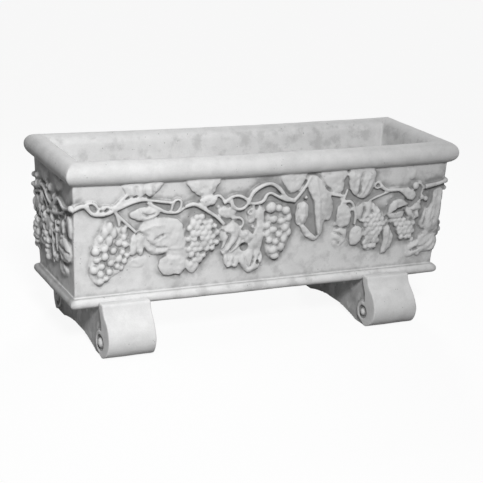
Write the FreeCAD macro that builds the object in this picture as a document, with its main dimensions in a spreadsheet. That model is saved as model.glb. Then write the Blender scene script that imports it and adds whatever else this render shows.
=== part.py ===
import FreeCAD, Part
import math
import os
import re
import Sketcher
from FreeCAD import Vector

# A concrete trough planter with a grapevine relief, standing on two loose scrolled feet.
# Frame: origin on the ground under the middle, X along the length, front at -Y, Z up. Millimetres.

SIZES = {
    # Trough, outside
    "rim_length": 762,
    "rim_width": 254,
    "rim_height": 40,
    "rim_overhang": 15,
    "wall_height": 200,
    "wall_lean": 10,
    "band_height": 19,
    # Trough, inside
    "rim_thickness": 41,
    "rim_inner_round": 15,
    "inner_lean": 12,
    "floor_thickness": 32,
    "floor_round": 18,
    "drain_radius": 11,
    "drain_spacing": 360,
    # Feet
    "foot_height": 84,
    "foot_width": 86,
    "left_foot_inset": 109,
    "right_foot_inset": 135,
    "seat_gap": 1.5,
    "lip_height": 13,
    "lip_thickness": 18,
    "lip_round": 5,
    "scroll_reach": 28,
    "scroll_height": 36,
    "neck_height": 72,
    "neck_reach": 12,
    "sole_depth": 18,
    "sole_inset": 29,
    "arch_height": 10,
    "arch_inset": 7,
    "eye_height": 26,
    "eye_inset": 38,
    "eye_radius": 12,
    "eye_proud": 2,
    "ring_width": 4,
    "panel_depth": 4,
    "strip_width": 19,
    # Steel rods
    "rod_radius": 3,
    "rod_cover": 14,
    "rod_gap": 0.5,
    # Relief
    "vine_radius": 5,
    "vine_side_radius": 3.5,
    "vine_end_inset": 6,
    "leaf_height": 9,
    "leaf_edge_height": 4,
    "vein_radius": 1.6,
    "grape_radius": 6.8,
    "grape_gap": 0.4,
    "grape_lift": 2,
    # Extra length of every cutting tool
    "overrun": 5,
}

# Derived places, as formulas of the sizes above.
SEAT = "foot_height"
BAND_TOP = f"({SEAT} + band_height)"
RIM_BOTTOM = f"({BAND_TOP} + wall_height)"
RIM_TOP = f"({RIM_BOTTOM} + rim_height)"
RIM_MIDDLE = f"({RIM_BOTTOM} + rim_height / 2)"
FLOOR_TOP = f"({SEAT} + floor_thickness)"
WALL_MIDDLE_INSET = "((rim_overhang + wall_lean + rim_thickness) / 2)"
LEFT_FOOT = "(left_foot_inset - rim_length / 2)"
RIGHT_FOOT = "(rim_length / 2 - right_foot_inset)"
BAND_HALF_WIDTH = "(rim_width / 2 - rim_overhang - wall_lean + band_height / 2)"
LIP_INSIDE = f"({BAND_HALF_WIDTH} + seat_gap)"
LIP_OUTSIDE = f"({LIP_INSIDE} + lip_thickness)"
LIP_TOP = f"({SEAT} + lip_height)"
SCROLL_FRONT = f"({LIP_OUTSIDE} + scroll_reach)"
NECK = f"({LIP_OUTSIDE} + neck_reach)"
SOLE_OUTSIDE = f"({SCROLL_FRONT} - sole_inset)"
SOLE_INSIDE = f"({SOLE_OUTSIDE} - sole_depth)"
ARCH_END = f"({SOLE_INSIDE} - arch_inset)"
EYE = f"({SCROLL_FRONT} - eye_inset)"

doc = FreeCAD.newDocument("planter")
sizes = doc.addObject("Spreadsheet::Sheet", "sizes")
for row, (alias, number) in enumerate(SIZES.items(), 1):
    sizes.set(f"A{row}", alias)
    sizes.set(f"B{row}", str(number))
    sizes.setAlias(f"B{row}", alias)
doc.recompute()


def bound(formula):
    """A formula of size names, as the rest of the document reads it."""
    return re.sub(r"[a-z_]+", lambda word: f"sizes.{word[0]}" if word[0] in SIZES else word[0], str(formula))


def value(formula):
    return float(sizes.evalExpression(bound(formula)))


# Outlines: a corner is (across, up) when a straight run leaves it, and (across, up, turn, axis, centre)
# when an arc does. turn is 1 for anticlockwise and -1 for clockwise, axis says which coordinate of the
# arc's centre is given, and centre gives it.

def mirrored(half):
    """The other half of a closed outline that is even about its up axis, walked the same way round."""
    corners = []
    for index in range(len(half) - 1, -1, -1):
        corner = half[index][:2]
        run = half[index - 1][2:] if index else ()
        if run:
            turn, axis, centre = run
            run = (turn, axis, f"-({centre})" if axis == "X" else centre)
        corners.append((f"-({corner[0]})", corner[1], *run))
    return corners


def arc_centre(start, end, axis, given):
    """Centre of the circle through two points when one of its coordinates is given."""
    run = end - start
    balance = (end.x ** 2 + end.y ** 2 - start.x ** 2 - start.y ** 2) / 2
    if axis == "X":
        return Vector(given, (balance - given * run.x) / run.y, 0)
    return Vector((balance - given * run.y) / run.x, given, 0)


def draw_outline(sketch, corners):
    """Draw one closed outline and tie every corner and arc centre to its formula."""
    first = sketch.GeometryCount
    points = [Vector(value(corner[0]), value(corner[1]), 0) for corner in corners]
    starts = []
    ends = []
    for index, corner in enumerate(corners):
        start = points[index]
        end = points[(index + 1) % len(points)]
        if len(corner) == 2:
            sketch.addGeometry(Part.LineSegment(start, end), False)
            starts.append(1)
            ends.append(2)
            continue
        turn, axis, centre = corner[2:]
        middle = arc_centre(start, end, axis, value(centre))
        from_angle = math.atan2(start.y - middle.y, start.x - middle.x)
        to_angle = math.atan2(end.y - middle.y, end.x - middle.x)
        if turn < 0:
            from_angle, to_angle = to_angle, from_angle
        circle = Part.Circle(middle, Vector(0, 0, 1), (start - middle).Length)
        sketch.addGeometry(Part.ArcOfCircle(circle, from_angle, to_angle), False)
        starts.append(1 if turn > 0 else 2)
        ends.append(2 if turn > 0 else 1)
    for index, corner in enumerate(corners):
        line = first + index
        following = (index + 1) % len(corners)
        sketch.addConstraint(
            Sketcher.Constraint("Coincident", line, ends[index], first + following, starts[following]))
        tie(sketch, "DistanceX", line, starts[index], corner[0])
        tie(sketch, "DistanceY", line, starts[index], corner[1])
        if len(corner) > 2:
            tie(sketch, "Distance" + corner[3], line, 3, corner[4])


def draw_circle(sketch, across, up, radius):
    centre = Vector(value(across), value(up), 0)
    line = sketch.addGeometry(Part.Circle(centre, Vector(0, 0, 1), value(radius)), False)
    tie(sketch, "DistanceX", line, 3, across)
    tie(sketch, "DistanceY", line, 3, up)
    number = sketch.addConstraint(Sketcher.Constraint("Radius", line, value(radius)))
    sketch.setExpression(f"Constraints[{number}]", bound(radius))


def tie(sketch, kind, line, end, formula):
    """Hold one coordinate of a point at its formula, measured from the sketch's origin."""
    number = sketch.addConstraint(Sketcher.Constraint(kind, -1, 1, line, end, value(formula)))
    sketch.setExpression(f"Constraints[{number}]", bound(formula))


# Trough: each block is the common part of two long bars, one seen from the end and one from the front,
# so its four sides meet in mitres.

ACROSS_TURN = FreeCAD.Rotation(Vector(0, 1, 0), Vector(0, 0, 1), Vector(1, 0, 0), "ZXY")
ALONG_TURN = FreeCAD.Rotation(Vector(1, 0, 0), Vector(0, 0, 1), Vector(0, -1, 0), "ZXY")


def mitred_block(name, half_outline):
    """A block with the given half outline on all four sides; half_outline(side) takes the rim's side."""
    bars = []
    for way, side, length, turn in (("across", "rim_width", "rim_length", ACROSS_TURN),
                                    ("along", "rim_length", "rim_width", ALONG_TURN)):
        half = half_outline(side)
        sketch = doc.addObject("Sketcher::SketchObject", f"{name}_{way}_outline")
        draw_outline(sketch, half + mirrored(half))
        sketch.Placement = FreeCAD.Placement(Vector(), turn)
        bar = doc.addObject("Part::Extrusion", f"{name}_{way}")
        bar.Base = sketch
        bar.DirMode = "Normal"
        bar.Symmetric = True
        bar.Solid = True
        bar.setExpression("LengthFwd", bound(f"{length} + 2 * overrun"))
        bars.append(bar)
    block = doc.addObject("Part::Common", name)
    block.Base, block.Tool = bars
    return block


def casting_outline(side):
    wall_foot = f"({side} / 2 - rim_overhang - wall_lean)"
    nose = f"({side} / 2 - rim_height / 2)"
    nose_drop = "sqrt((rim_height / 2)^2 - (rim_height / 2 - rim_overhang)^2)"
    return [(wall_foot, SEAT, 1, "X", wall_foot),
            (wall_foot, BAND_TOP),
            (f"{side} / 2 - rim_overhang", f"{RIM_MIDDLE} - {nose_drop}", 1, "X", nose),
            (nose, RIM_TOP)]


def hollow_outline(side):
    mouth = f"({side} / 2 - rim_thickness)"
    mouth_round = f"({mouth} + rim_inner_round)"
    floor_side = f"({mouth} - inner_lean)"
    floor_turn = f"({floor_side} - floor_round)"
    return [(floor_turn, FLOOR_TOP, 1, "X", floor_turn),
            (floor_side, f"{FLOOR_TOP} + floor_round"),
            (mouth, f"{RIM_TOP} - rim_inner_round", -1, "X", mouth_round),
            (mouth_round, RIM_TOP),
            (mouth_round, f"{RIM_TOP} + overrun")]


def cylinder(name, radius, height, place, turn=FreeCAD.Rotation()):
    rod = doc.addObject("Part::Cylinder", name)
    rod.setExpression("Radius", bound(radius))
    rod.setExpression("Height", bound(height))
    rod.Placement = FreeCAD.Placement(Vector(), turn)
    for axis, formula in zip("xyz", place):
        rod.setExpression(f"Placement.Base.{axis}", bound(formula))
    return rod


def make_trough():
    drains = []
    for side, sign in (("left", "-"), ("right", "+")):
        place = (f"0 {sign} drain_spacing / 2", "0", f"{SEAT} - overrun")
        drains.append(cylinder(f"{side}_drain", "drain_radius", "floor_thickness + 2 * overrun", place))
    tools = doc.addObject("Part::MultiFuse", "hollow_and_drains")
    tools.Shapes = [mitred_block("hollow", hollow_outline)] + drains
    trough = doc.addObject("Part::Cut", "trough")
    trough.Base = mitred_block("casting", casting_outline)
    trough.Tool = tools
    return trough


# Feet: a bar across the trough with a scroll at each end. The side panels lie a little behind the scrolls.

def foot_outline():
    """Outer half outline, from the arch under the middle round the scroll to the seat."""
    return [(ARCH_END, "arch_height", 1, "Y", "eye_height"),
            (SOLE_INSIDE, "0"),
            (SOLE_OUTSIDE, "0", 1, "Y", "scroll_height"),
            (SCROLL_FRONT, "scroll_height", 1, "Y", "scroll_height"),
            (NECK, "neck_height", -1, "Y", LIP_TOP),
            (LIP_OUTSIDE, f"{LIP_TOP} - lip_round", 1, "Y", f"{LIP_TOP} - lip_round"),
            (f"{LIP_OUTSIDE} - lip_round", LIP_TOP),
            (LIP_INSIDE, LIP_TOP),
            (LIP_INSIDE, SEAT)]


def scroll_outline():
    """The scroll alone: the front strip from the lip down, rolled round the eye."""
    strip_turn = (f"{NECK} - strip_width", "neck_height - strip_width / 2")
    roll_top = (f"{EYE} - ring_width", "eye_height + eye_radius + 3 * ring_width", 1, "Y", "eye_height")
    return foot_outline() + [strip_turn, roll_top]


def turned(corners):
    """The same closed outline at the other end of the foot, walked the same way round."""
    flipped = mirrored(corners)
    last = corners[-1]
    if len(last) > 2:
        turn, axis, centre = last[2:]
        flipped[-1] = flipped[-1][:2] + (turn, axis, f"-({centre})" if axis == "X" else centre)
    return flipped


def body_sketch(body, name):
    plane = next(item for item in body.Origin.OriginFeatures if item.Role == "YZ_Plane")
    sketch = body.newObject("Sketcher::SketchObject", name)
    sketch.AttachmentSupport = [(plane, "")]
    sketch.MapMode = "FlatFace"
    return sketch


def pad(body, name, sketch, length):
    feature = body.newObject("PartDesign::Pad", name)
    feature.Profile = sketch
    feature.Midplane = True
    feature.setExpression("Length", bound(length))
    return feature


def make_foot(name, place):
    body = doc.addObject("PartDesign::Body", name)
    half = foot_outline()
    core = body_sketch(body, f"{name}_core_outline")
    draw_outline(core, half + mirrored(half))
    pad(body, f"{name}_core", core, "foot_width - 2 * panel_depth")
    scroll = scroll_outline()
    for end, outline, sign in (("back", scroll, ""), ("front", turned(scroll), "-")):
        sketch = body_sketch(body, f"{name}_{end}_scroll_outline")
        draw_outline(sketch, outline)
        draw_circle(sketch, f"{sign}{EYE}", "eye_height", "eye_radius + ring_width")
        pad(body, f"{name}_{end}_scroll", sketch, "foot_width")
        eye = body_sketch(body, f"{name}_{end}_eye_outline")
        draw_circle(eye, f"{sign}{EYE}", "eye_height", "eye_radius")
        pad(body, f"{name}_{end}_eye", eye, "foot_width + 2 * eye_proud")
    body.setExpression("Placement.Base.x", bound(place))
    return body


# Steel rods, cast into the concrete.

TO_X = FreeCAD.Rotation(Vector(0, 1, 0), 90)
TO_Y = FreeCAD.Rotation(Vector(1, 0, 0), -90)


def rod_group(name, rods):
    group = doc.addObject("Part::Compound", name)
    group.Links = rods
    return group


def rods_along(name, half_span, half_length, height):
    """Two rods along X, one on each side of the middle."""
    rods = []
    for end, sign in (("front", "-"), ("back", "")):
        place = (f"-({half_length})", f"{sign}({half_span})", height)
        rods.append(cylinder(f"{name}_{end}", "rod_radius", f"2 * ({half_length})", place, TO_X))
    return rods


def rods_across(name, places, half_length, height):
    rods = []
    for number, place in enumerate(places, 1):
        base = (place, f"-({half_length})", height)
        rods.append(cylinder(f"{name}_{number}", "rod_radius", f"2 * ({half_length})", base, TO_Y))
    return rods


def make_rods():
    """Rods of the trough: round the rim, in the floor and up the corners."""
    rim_line = "rim_thickness / 2"
    rim_long = rods_along("rim_long_rod", f"rim_width / 2 - {rim_line}",
                          "rim_length / 2 - rod_cover", RIM_MIDDLE)
    rim_end = f"(rim_length / 2 - {rim_line})"
    below = f"{RIM_MIDDLE} - 2 * rod_radius - rod_gap"
    rim_short = rods_across("rim_short_rod", (f"-{rim_end}", rim_end), "rim_width / 2 - rod_cover", below)
    rods = [rod_group("rim_rods", rim_long + rim_short)]
    floor_height = f"{SEAT} + floor_thickness / 2 - rod_radius"
    floor_side = "(rim_width / 2 - rim_overhang - wall_lean - rod_cover)"
    floor_end = "(rim_length / 2 - rim_overhang - wall_lean - rod_cover)"
    floor_long = rods_along("floor_long_rod", f"{floor_side} / 2", floor_end, floor_height)
    above = f"{floor_height} + 2 * rod_radius + rod_gap"
    spread = "(drain_spacing / 2 + drain_radius + rod_cover)"
    floor_short = rods_across("floor_short_rod", (f"-{spread}", "0", spread), floor_side, above)
    rods.append(rod_group("floor_rods", floor_long + floor_short))
    uprights = []
    for x_sign in ("-", ""):
        for y_sign in ("-", ""):
            place = (f"{x_sign}(rim_length / 2 - {WALL_MIDDLE_INSET})",
                     f"{y_sign}(rim_width / 2 - {WALL_MIDDLE_INSET})", f"{above} + 2 * rod_radius")
            height = f"{below} - 2 * rod_radius - rod_gap - ({place[2]})"
            uprights.append(cylinder(f"corner_rod_{len(uprights) + 1}", "rod_radius", height, place))
    rods.append(rod_group("corner_rods", uprights))
    return rods


def make_foot_rod(name, place):
    half_length = f"({SOLE_INSIDE})"
    height = "(foot_height + arch_height) / 2"
    return cylinder(name, "rod_radius", f"2 * {half_length}", (place, f"-{half_length}", height), TO_Y)


# Relief. A wall's own frame: X along the wall to the right as seen from outside, Y up its slope, Z outwards.
# Places are shares: along of half the wall's length at mid height, up of its sloping height.
# Lengths of leaves are shares of the sloping height, and their widths shares of their lengths, on a wall
# of the drawn share. On a longer or shorter wall the leaves stretch along it.

# Half length over sloping height of the walls that the relief is drawn for.
LONG_DRAWN_SHARE = 1.803
END_DRAWN_SHARE = 0.534

VINE_LEAF_SHARES = [(0.00, 0.00, 0.10), (0.30, -0.12, 0.30), (0.50, 0.18, 0.20), (0.34, 0.36, 0.10),
                    (0.56, 0.62, 0.25), (0.22, 0.70, 0.10), (0.00, 1.00, 0.15)]
ALMOND_LEAF_SHARES = [(0.00, 0.00, 0.22), (0.50, 0.50, 0.22), (0.00, 1.00, 0.22)]

# Each vein: across and up of its start and of its tip.
MIDRIB_SHARES = [(0.00, 0.00, 0.00, 0.85)]
SIDE_VEIN_SHARES = [(0.00, 0.12, 0.34, 0.55), (0.00, 0.12, -0.34, 0.55)]

# Each leaf: outline, along, up, length, width, turn in degrees from pointing up.
LONG_LEAF_SHARES = [
    ("almond", -0.735, 0.725, 0.27, 0.42, -88), ("vine", -0.720, 0.470, 0.50, 0.66, -104),
    ("vine", -0.470, 0.215, 0.15, 1.70, 174), ("vine", -0.745, 0.920, 0.29, 0.42, -90),
    ("vine", -0.360, 0.950, 0.20, 0.85, 180), ("vine", -0.192, 0.620, 0.50, 0.60, 172),
    ("almond", -0.050, 0.730, 0.55, 0.16, 180), ("almond", 0.158, 0.715, 0.22, 0.50, 180),
    ("vine", 0.255, 0.900, 0.56, 0.50, 188), ("vine", 0.100, 0.950, 0.15, 1.20, 180),
    ("vine", 0.392, 0.950, 0.17, 0.74, 180), ("vine", 0.510, 0.720, 0.25, 1.05, 0),
    ("almond", 0.415, 0.680, 0.24, 0.62, 180), ("almond", 0.500, 0.450, 0.19, 0.72, 184),
    ("almond", 0.690, 0.440, 0.28, 0.42, 184), ("vine", 0.785, 0.600, 0.23, 0.80, 95),
    ("vine", 0.826, 0.565, 0.11, 1.00, -84), ("almond", 0.945, 0.770, 0.41, 0.42, 178),
    ("vine", 0.975, 0.215, 0.28, 0.62, 100)]
END_LEAF_SHARES = [
    ("vine", 0.330, 0.440, 0.34, 0.80, -86), ("almond", -0.150, 0.650, 0.25, 0.46, -70),
    ("vine", -0.420, 0.950, 0.17, 1.30, 180), ("vine", 0.420, 0.950, 0.15, 1.30, 180),
    ("almond", -0.640, 0.640, 0.26, 0.45, 60), ("almond", 0.860, 0.800, 0.19, 0.45, 170)]

# Each cluster: along and up of its top grape, turn in degrees, depth as a share of the sloping height and
# width as a share of the half length. Both run between the centres of the outermost grapes.
LONG_CLUSTER_SHARES = [
    (-0.825, 0.600, -4, 0.50, 0.165), (-0.365, 0.640, 4, 0.45, 0.130), (0.050, 0.720, 0, 0.45, 0.125),
    (0.595, 0.590, 2, 0.45, 0.130), (0.790, 0.440, 8, 0.26, 0.125)]
END_CLUSTER_SHARES = [
    (-0.240, 0.620, -2, 0.38, 0.430), (-0.800, 0.560, 4, 0.32, 0.280), (0.780, 0.280, 0, 0.19, 0.280)]

# Outline of a cluster: how far down, and how much of its width it has there.
CLUSTER_WIDTH_SHARES = [(0.00, 0.45), (0.25, 1.00), (0.55, 1.00), (1.00, 0.00)]

LONG_VINE_SHARES = [
    (-1.000, 0.790), (-0.955, 0.845), (-0.900, 0.770), (-0.815, 0.765), (-0.720, 0.835), (-0.600, 0.825),
    (-0.480, 0.715), (-0.425, 0.790), (-0.330, 0.710), (-0.250, 0.780), (-0.175, 0.830), (-0.115, 0.790),
    (-0.075, 0.895), (-0.015, 0.925), (0.050, 0.860), (0.125, 0.735), (0.185, 0.830), (0.245, 0.905),
    (0.310, 0.850), (0.365, 0.750), (0.440, 0.705), (0.530, 0.725), (0.610, 0.805), (0.700, 0.770),
    (0.800, 0.785), (0.900, 0.790), (1.000, 0.830)]
LONG_SIDE_SHARES = [
    [(-0.790, 0.715), (-0.745, 0.640), (-0.690, 0.560)],
    [(-0.822, 0.725), (-0.812, 0.670), (-0.818, 0.605)],
    [(-0.205, 0.755), (-0.160, 0.695), (-0.118, 0.725)],
    [(-0.100, 0.745), (-0.045, 0.765), (-0.020, 0.835), (0.030, 0.815), (0.080, 0.735)],
    [(0.420, 0.665), (0.470, 0.665), (0.490, 0.560), (0.485, 0.480)],
    [(0.850, 0.745), (0.880, 0.700), (0.885, 0.620)]]
END_VINE_SHARES = [
    (-1.000, 0.760), (-0.720, 0.800), (-0.400, 0.855), (-0.100, 0.740), (0.160, 0.720), (0.380, 0.840),
    (0.640, 0.790), (1.000, 0.800)]
END_SIDE_SHARES = [
    [(-0.240, 0.740), (-0.220, 0.690), (-0.235, 0.630)],
    [(0.280, 0.700), (0.480, 0.700), (0.620, 0.735)]]

# How much of the shorter run beside a corner of the vine its bend takes up.
BEND_SHARE = 0.45

UP = Vector(0, 0, 1)


class Wall:
    """One sloping wall: its frame in the planter, its sizes, and how far the drawn relief stretches on it."""

    def __init__(self, name, side, depth, turn, drawn_share):
        self.name = name
        self.height = math.hypot(value("wall_height"), value("wall_lean"))
        self.half_length = value(f"{side} / 2 - rim_overhang - wall_lean / 2")
        self.stretch = self.half_length / (self.height * drawn_share)
        lean = math.degrees(math.atan2(value("wall_lean"), value("wall_height")))
        foot = Vector(0, -value(f"{depth} / 2 - rim_overhang - wall_lean"), value(BAND_TOP))
        slope = FreeCAD.Placement(foot, FreeCAD.Rotation(Vector(1, 0, 0), 90 + lean))
        self.placement = FreeCAD.Placement(Vector(), FreeCAD.Rotation(UP, turn)) * slope

    def point(self, along_share, up_share):
        return Vector(along_share * self.half_length, up_share * self.height, 0)


WALLS = [Wall("front", "rim_length", "rim_width", 0, LONG_DRAWN_SHARE),
         Wall("back", "rim_length", "rim_width", 180, LONG_DRAWN_SHARE),
         Wall("left_end", "rim_width", "rim_length", -90, END_DRAWN_SHARE),
         Wall("right_end", "rim_width", "rim_length", 90, END_DRAWN_SHARE)]


def relief_feature(wall, kind, solids):
    feature = doc.addObject("Part::Feature", f"{wall.name}_{kind}")
    feature.Shape = Part.makeCompound(solids)
    feature.Placement = wall.placement
    return feature


def joined_solids(solids):
    """Solids that cross are made one, and the others stay as they are."""
    return solids[0].multiFuse(solids[1:]).Solids if len(solids) > 1 else solids


def half_round(points, radius):
    """A half-round strip on the wall along straight runs joined by tangent arcs."""
    edges = []
    start = points[0]
    for before, corner, after in zip(points, points[1:], points[2:]):
        back = before - corner
        ahead = after - corner
        reach = BEND_SHARE * min(back.Length, ahead.Length)
        back.normalize()
        ahead.normalize()
        half_turn = (math.pi - back.getAngle(ahead)) / 2
        bisector = (back + ahead).normalize()
        radius_here = reach / math.tan(half_turn)
        middle = corner + bisector * (radius_here / math.cos(half_turn) - radius_here)
        bend_start = corner + back * reach
        bend_end = corner + ahead * reach
        edges.append(Part.LineSegment(start, bend_start).toShape())
        edges.append(Part.Arc(bend_start, middle, bend_end).toShape())
        start = bend_end
    edges.append(Part.LineSegment(start, points[-1]).toShape())
    heading = (points[1] - points[0]).normalize()
    side = UP.cross(heading) * radius
    left = points[0] + side
    right = points[0] - side
    section = Part.Wire([Part.Arc(left, points[0] + UP * radius, right).toShape(),
                         Part.LineSegment(right, left).toShape()])
    sweep = Part.BRepOffsetAPI.MakePipeShell(Part.Wire(edges))
    sweep.setBiNormalMode(UP)
    sweep.add(section)
    sweep.build()
    sweep.makeSolid()
    return sweep.shape()


def make_vine(wall, main_shares, side_shares):
    inset = Vector(value("vine_end_inset"), 0, 0)
    main = [wall.point(*share) for share in main_shares]
    main[0] += inset
    main[-1] -= inset
    strips = [half_round(main, value("vine_radius"))]
    for shares in side_shares:
        strips.append(half_round([wall.point(*share) for share in shares], value("vine_side_radius")))
    return relief_feature(wall, "vine", joined_solids(strips))


def leaf_outline(shares, laid):
    """A leaf's face: one side drawn through its shares, the other mirrored, each point put where laid says."""
    right = [(across, up) for across, up, _ in shares]
    bulges = [bulge for _, _, bulge in shares[:-1]]
    left = [(-across, up) for across, up in reversed(right)]
    points = [laid(across, up) for across, up in right + left[1:]]
    edges = []
    for start, end, bulge in zip(points, points[1:], bulges + bulges[::-1]):
        run = end - start
        middle = start + run / 2 + Vector(run.y, -run.x, 0) * bulge
        edges.append(Part.Arc(start, middle, end).toShape())
    return Part.Face(Part.Wire(edges))


def make_leaf(wall, kind, along, up, length_share, width_share, turn):
    lobed = kind == "vine"
    shares = VINE_LEAF_SHARES if lobed else ALMOND_LEAF_SHARES
    vein_shares = MIDRIB_SHARES + SIDE_VEIN_SHARES if lobed else MIDRIB_SHARES
    length = length_share * wall.height
    width = width_share * length
    height = value("leaf_height")
    rise = height - value("leaf_edge_height")
    reach = max(length, width) / 2 * max(1, wall.stretch)
    dome_radius = (reach ** 2 + rise ** 2) / (2 * rise)
    heading = FreeCAD.Rotation(UP, turn)

    def laid(across_share, up_share, lift=0):
        """A point of the leaf on the wall, stretched along it."""
        point = heading.multVec(Vector(across_share * width, up_share * length, lift))
        return wall.point(along, up) + Vector(point.x * wall.stretch, point.y, point.z)

    leaf = leaf_outline(shares, laid).extrude(UP * height)
    leaf = leaf.common(Part.makeSphere(dome_radius, laid(0, 1 / 2, height - dome_radius)))
    veins = []
    for across, start, end_across, end in vein_shares:
        foot = laid(across, start, height)
        tip = laid(end_across, end, height)
        veins.append(Part.makeCylinder(value("vein_radius"), (tip - foot).Length, foot, tip - foot))
    return leaf.cut(veins)


def make_leaves(wall, leaf_shares):
    return relief_feature(wall, "leaves", [make_leaf(wall, *row) for row in leaf_shares])


def cluster_width(down):
    """Share of a cluster's width at a share of its depth."""
    for (start, wide), (end, next_wide) in zip(CLUSTER_WIDTH_SHARES, CLUSTER_WIDTH_SHARES[1:]):
        if down <= end:
            return wide + (next_wide - wide) * (down - start) / (end - start)
    return 0


def make_grapes(wall, clusters):
    """Grapes as round caps on the wall, in rows that nest into one another."""
    radius = value("grape_radius")
    lift = value("grape_lift")
    pitch = 2 * radius + value("grape_gap")
    row_pitch = pitch * math.sin(math.pi / 3)
    below_wall = -math.degrees(math.asin(lift / radius))
    grapes = []
    for along, up, turn, depth_share, width_share in clusters:
        place = FreeCAD.Placement(wall.point(along, up), FreeCAD.Rotation(UP, turn))
        depth = depth_share * wall.height
        width = width_share * wall.half_length
        shift = 0
        last_count = 0
        for row in range(1 + int(depth / row_pitch)):
            count = 1 + int(cluster_width(row * row_pitch / depth) * width / pitch)
            if row and (count - last_count) % 2 == 0:
                shift = pitch / 2 if shift == 0 else 0
            last_count = count
            for number in range(count):
                across = (number - (count - 1) / 2) * pitch + shift
                centre = place.multVec(Vector(across, -row * row_pitch, lift))
                grapes.append(Part.makeSphere(radius, centre, UP, below_wall, 90))
    return relief_feature(wall, "grapes", grapes)


def make_relief(wall):
    long_wall = wall.name in ("front", "back")
    return [make_vine(wall, LONG_VINE_SHARES if long_wall else END_VINE_SHARES,
                      LONG_SIDE_SHARES if long_wall else END_SIDE_SHARES),
            make_leaves(wall, LONG_LEAF_SHARES if long_wall else END_LEAF_SHARES),
            make_grapes(wall, LONG_CLUSTER_SHARES if long_wall else END_CLUSTER_SHARES)]


nodes = [make_trough(),
         make_foot("left_foot", LEFT_FOOT),
         make_foot("right_foot", RIGHT_FOOT),
         make_foot_rod("left_foot_rod", LEFT_FOOT),
         make_foot_rod("right_foot_rod", RIGHT_FOOT)]
nodes += make_rods()
for wall in WALLS:
    nodes += make_relief(wall)
doc.recompute()

for item in doc.Objects:
    if "Invalid" in item.State or "Error" in item.State:
        raise RuntimeError(f"{item.Label} failed: {item.State}")
for node in nodes:
    if node.Shape.isNull() or not node.Shape.isValid():
        raise RuntimeError(f"{node.Label} has no valid shape")

os.makedirs("parts", exist_ok=True)
for node in nodes:
    node.Shape.exportStep(f"parts/{node.Label}.step")
    print(node.Label, len(node.Shape.Solids), round(node.Shape.Volume))
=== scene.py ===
import math
import random

import bpy
import numpy as np
from mathutils import Matrix, Vector, noise
from mathutils.bvhtree import BVHTree


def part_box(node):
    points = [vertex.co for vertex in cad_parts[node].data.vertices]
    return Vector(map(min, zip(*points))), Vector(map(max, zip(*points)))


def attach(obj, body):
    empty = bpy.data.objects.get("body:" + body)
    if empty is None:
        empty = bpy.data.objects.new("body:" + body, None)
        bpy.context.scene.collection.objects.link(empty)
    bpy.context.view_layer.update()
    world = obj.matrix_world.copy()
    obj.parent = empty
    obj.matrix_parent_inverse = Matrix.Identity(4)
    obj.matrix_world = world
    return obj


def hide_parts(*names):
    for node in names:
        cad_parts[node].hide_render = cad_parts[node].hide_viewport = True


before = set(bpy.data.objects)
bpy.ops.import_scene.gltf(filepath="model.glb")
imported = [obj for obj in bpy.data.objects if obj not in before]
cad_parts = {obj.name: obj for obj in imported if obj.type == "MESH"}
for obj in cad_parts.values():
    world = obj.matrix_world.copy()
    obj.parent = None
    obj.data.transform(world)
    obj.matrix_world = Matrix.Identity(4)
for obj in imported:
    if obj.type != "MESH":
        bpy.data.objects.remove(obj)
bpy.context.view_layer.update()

# A concrete trough planter with a grapevine relief, standing on two loose scrolled feet.
# Metres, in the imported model's frame: X along the length, front at -Y, Z up from the ground.

TROUGH_LOW, TROUGH_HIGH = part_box("trough")
HALF_LENGTH = TROUGH_HIGH.x
HALF_WIDTH = TROUGH_HIGH.y
SEAT = TROUGH_LOW.z
RIM_TOP = TROUGH_HIGH.z

# Trough
RIM_HEIGHT = 0.040
RIM_OVERHANG = 0.015
RIM_THICKNESS = 0.041
RIM_INNER_ROUND = 0.020
WALL_LEAN = 0.010
BAND_HEIGHT = 0.019
INNER_LEAN = 0.008
FLOOR_THICKNESS = 0.032
FLOOR_ROUND = 0.018
DRAIN_RADIUS = 0.011
DRAIN_SPACING = 0.360
DRAIN_SIDES = 32
DRILL_LENGTH = 4 * FLOOR_THICKNESS
FRONT_SAG = 0.004
BACK_SAG = 0.003
BAND_STEPS = 9
NOSE_STEPS = 12
INNER_ROUND_STEPS = 7
FLOOR_ROUND_STEPS = 6

BAND_TOP = SEAT + BAND_HEIGHT
RIM_BOTTOM = RIM_TOP - RIM_HEIGHT
RIM_MIDDLE = RIM_TOP - RIM_HEIGHT / 2
WALL_FOOT_INSET = RIM_OVERHANG + WALL_LEAN

# Feet
LIP_HEIGHT = 0.013
LIP_THICKNESS = 0.018
LIP_ROUND = 0.005
SEAT_GAP = 0.0015
SCROLL_REACH = 0.028
SCROLL_HEIGHT = 0.036
NECK_HEIGHT = 0.072
NECK_REACH = 0.012
SOLE_DEPTH = 0.040
SOLE_INSET = 0.029
ARCH_HEIGHT = 0.012
EYE_HEIGHT = 0.026
EYE_INSET = 0.038
EYE_RADIUS = {"left_foot": 0.0105, "right_foot": 0.0085}
EYE_PROUD = 0.002
EYE_DOME = 0.008
RING_WIDTH = 0.004
PANEL_DEPTH = 0.004
# Extra painted shade and dirt on the recessed side panels.
PANEL_SHADE_SHARE = 0.10
STRIP_TILT = 0.002
STRIP_WIDTH = 0.019
FLARE = {"left_foot": 0.005, "right_foot": 0.011}
FLARE_POWER = 1.5
ARCH_START = 89
ARCH_STEPS = 8
BEND_STEPS = 10
LIP_STEPS = 5
ROLL_RINGS = 3
ROLL_START, ROLL_END = 80, 220
ROLL_STEPS = 9
DISC_SIDES = 40
EYE_SEGMENTS = 32
EYE_RINGS = 16
PANEL_FACING = 0.7
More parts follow.
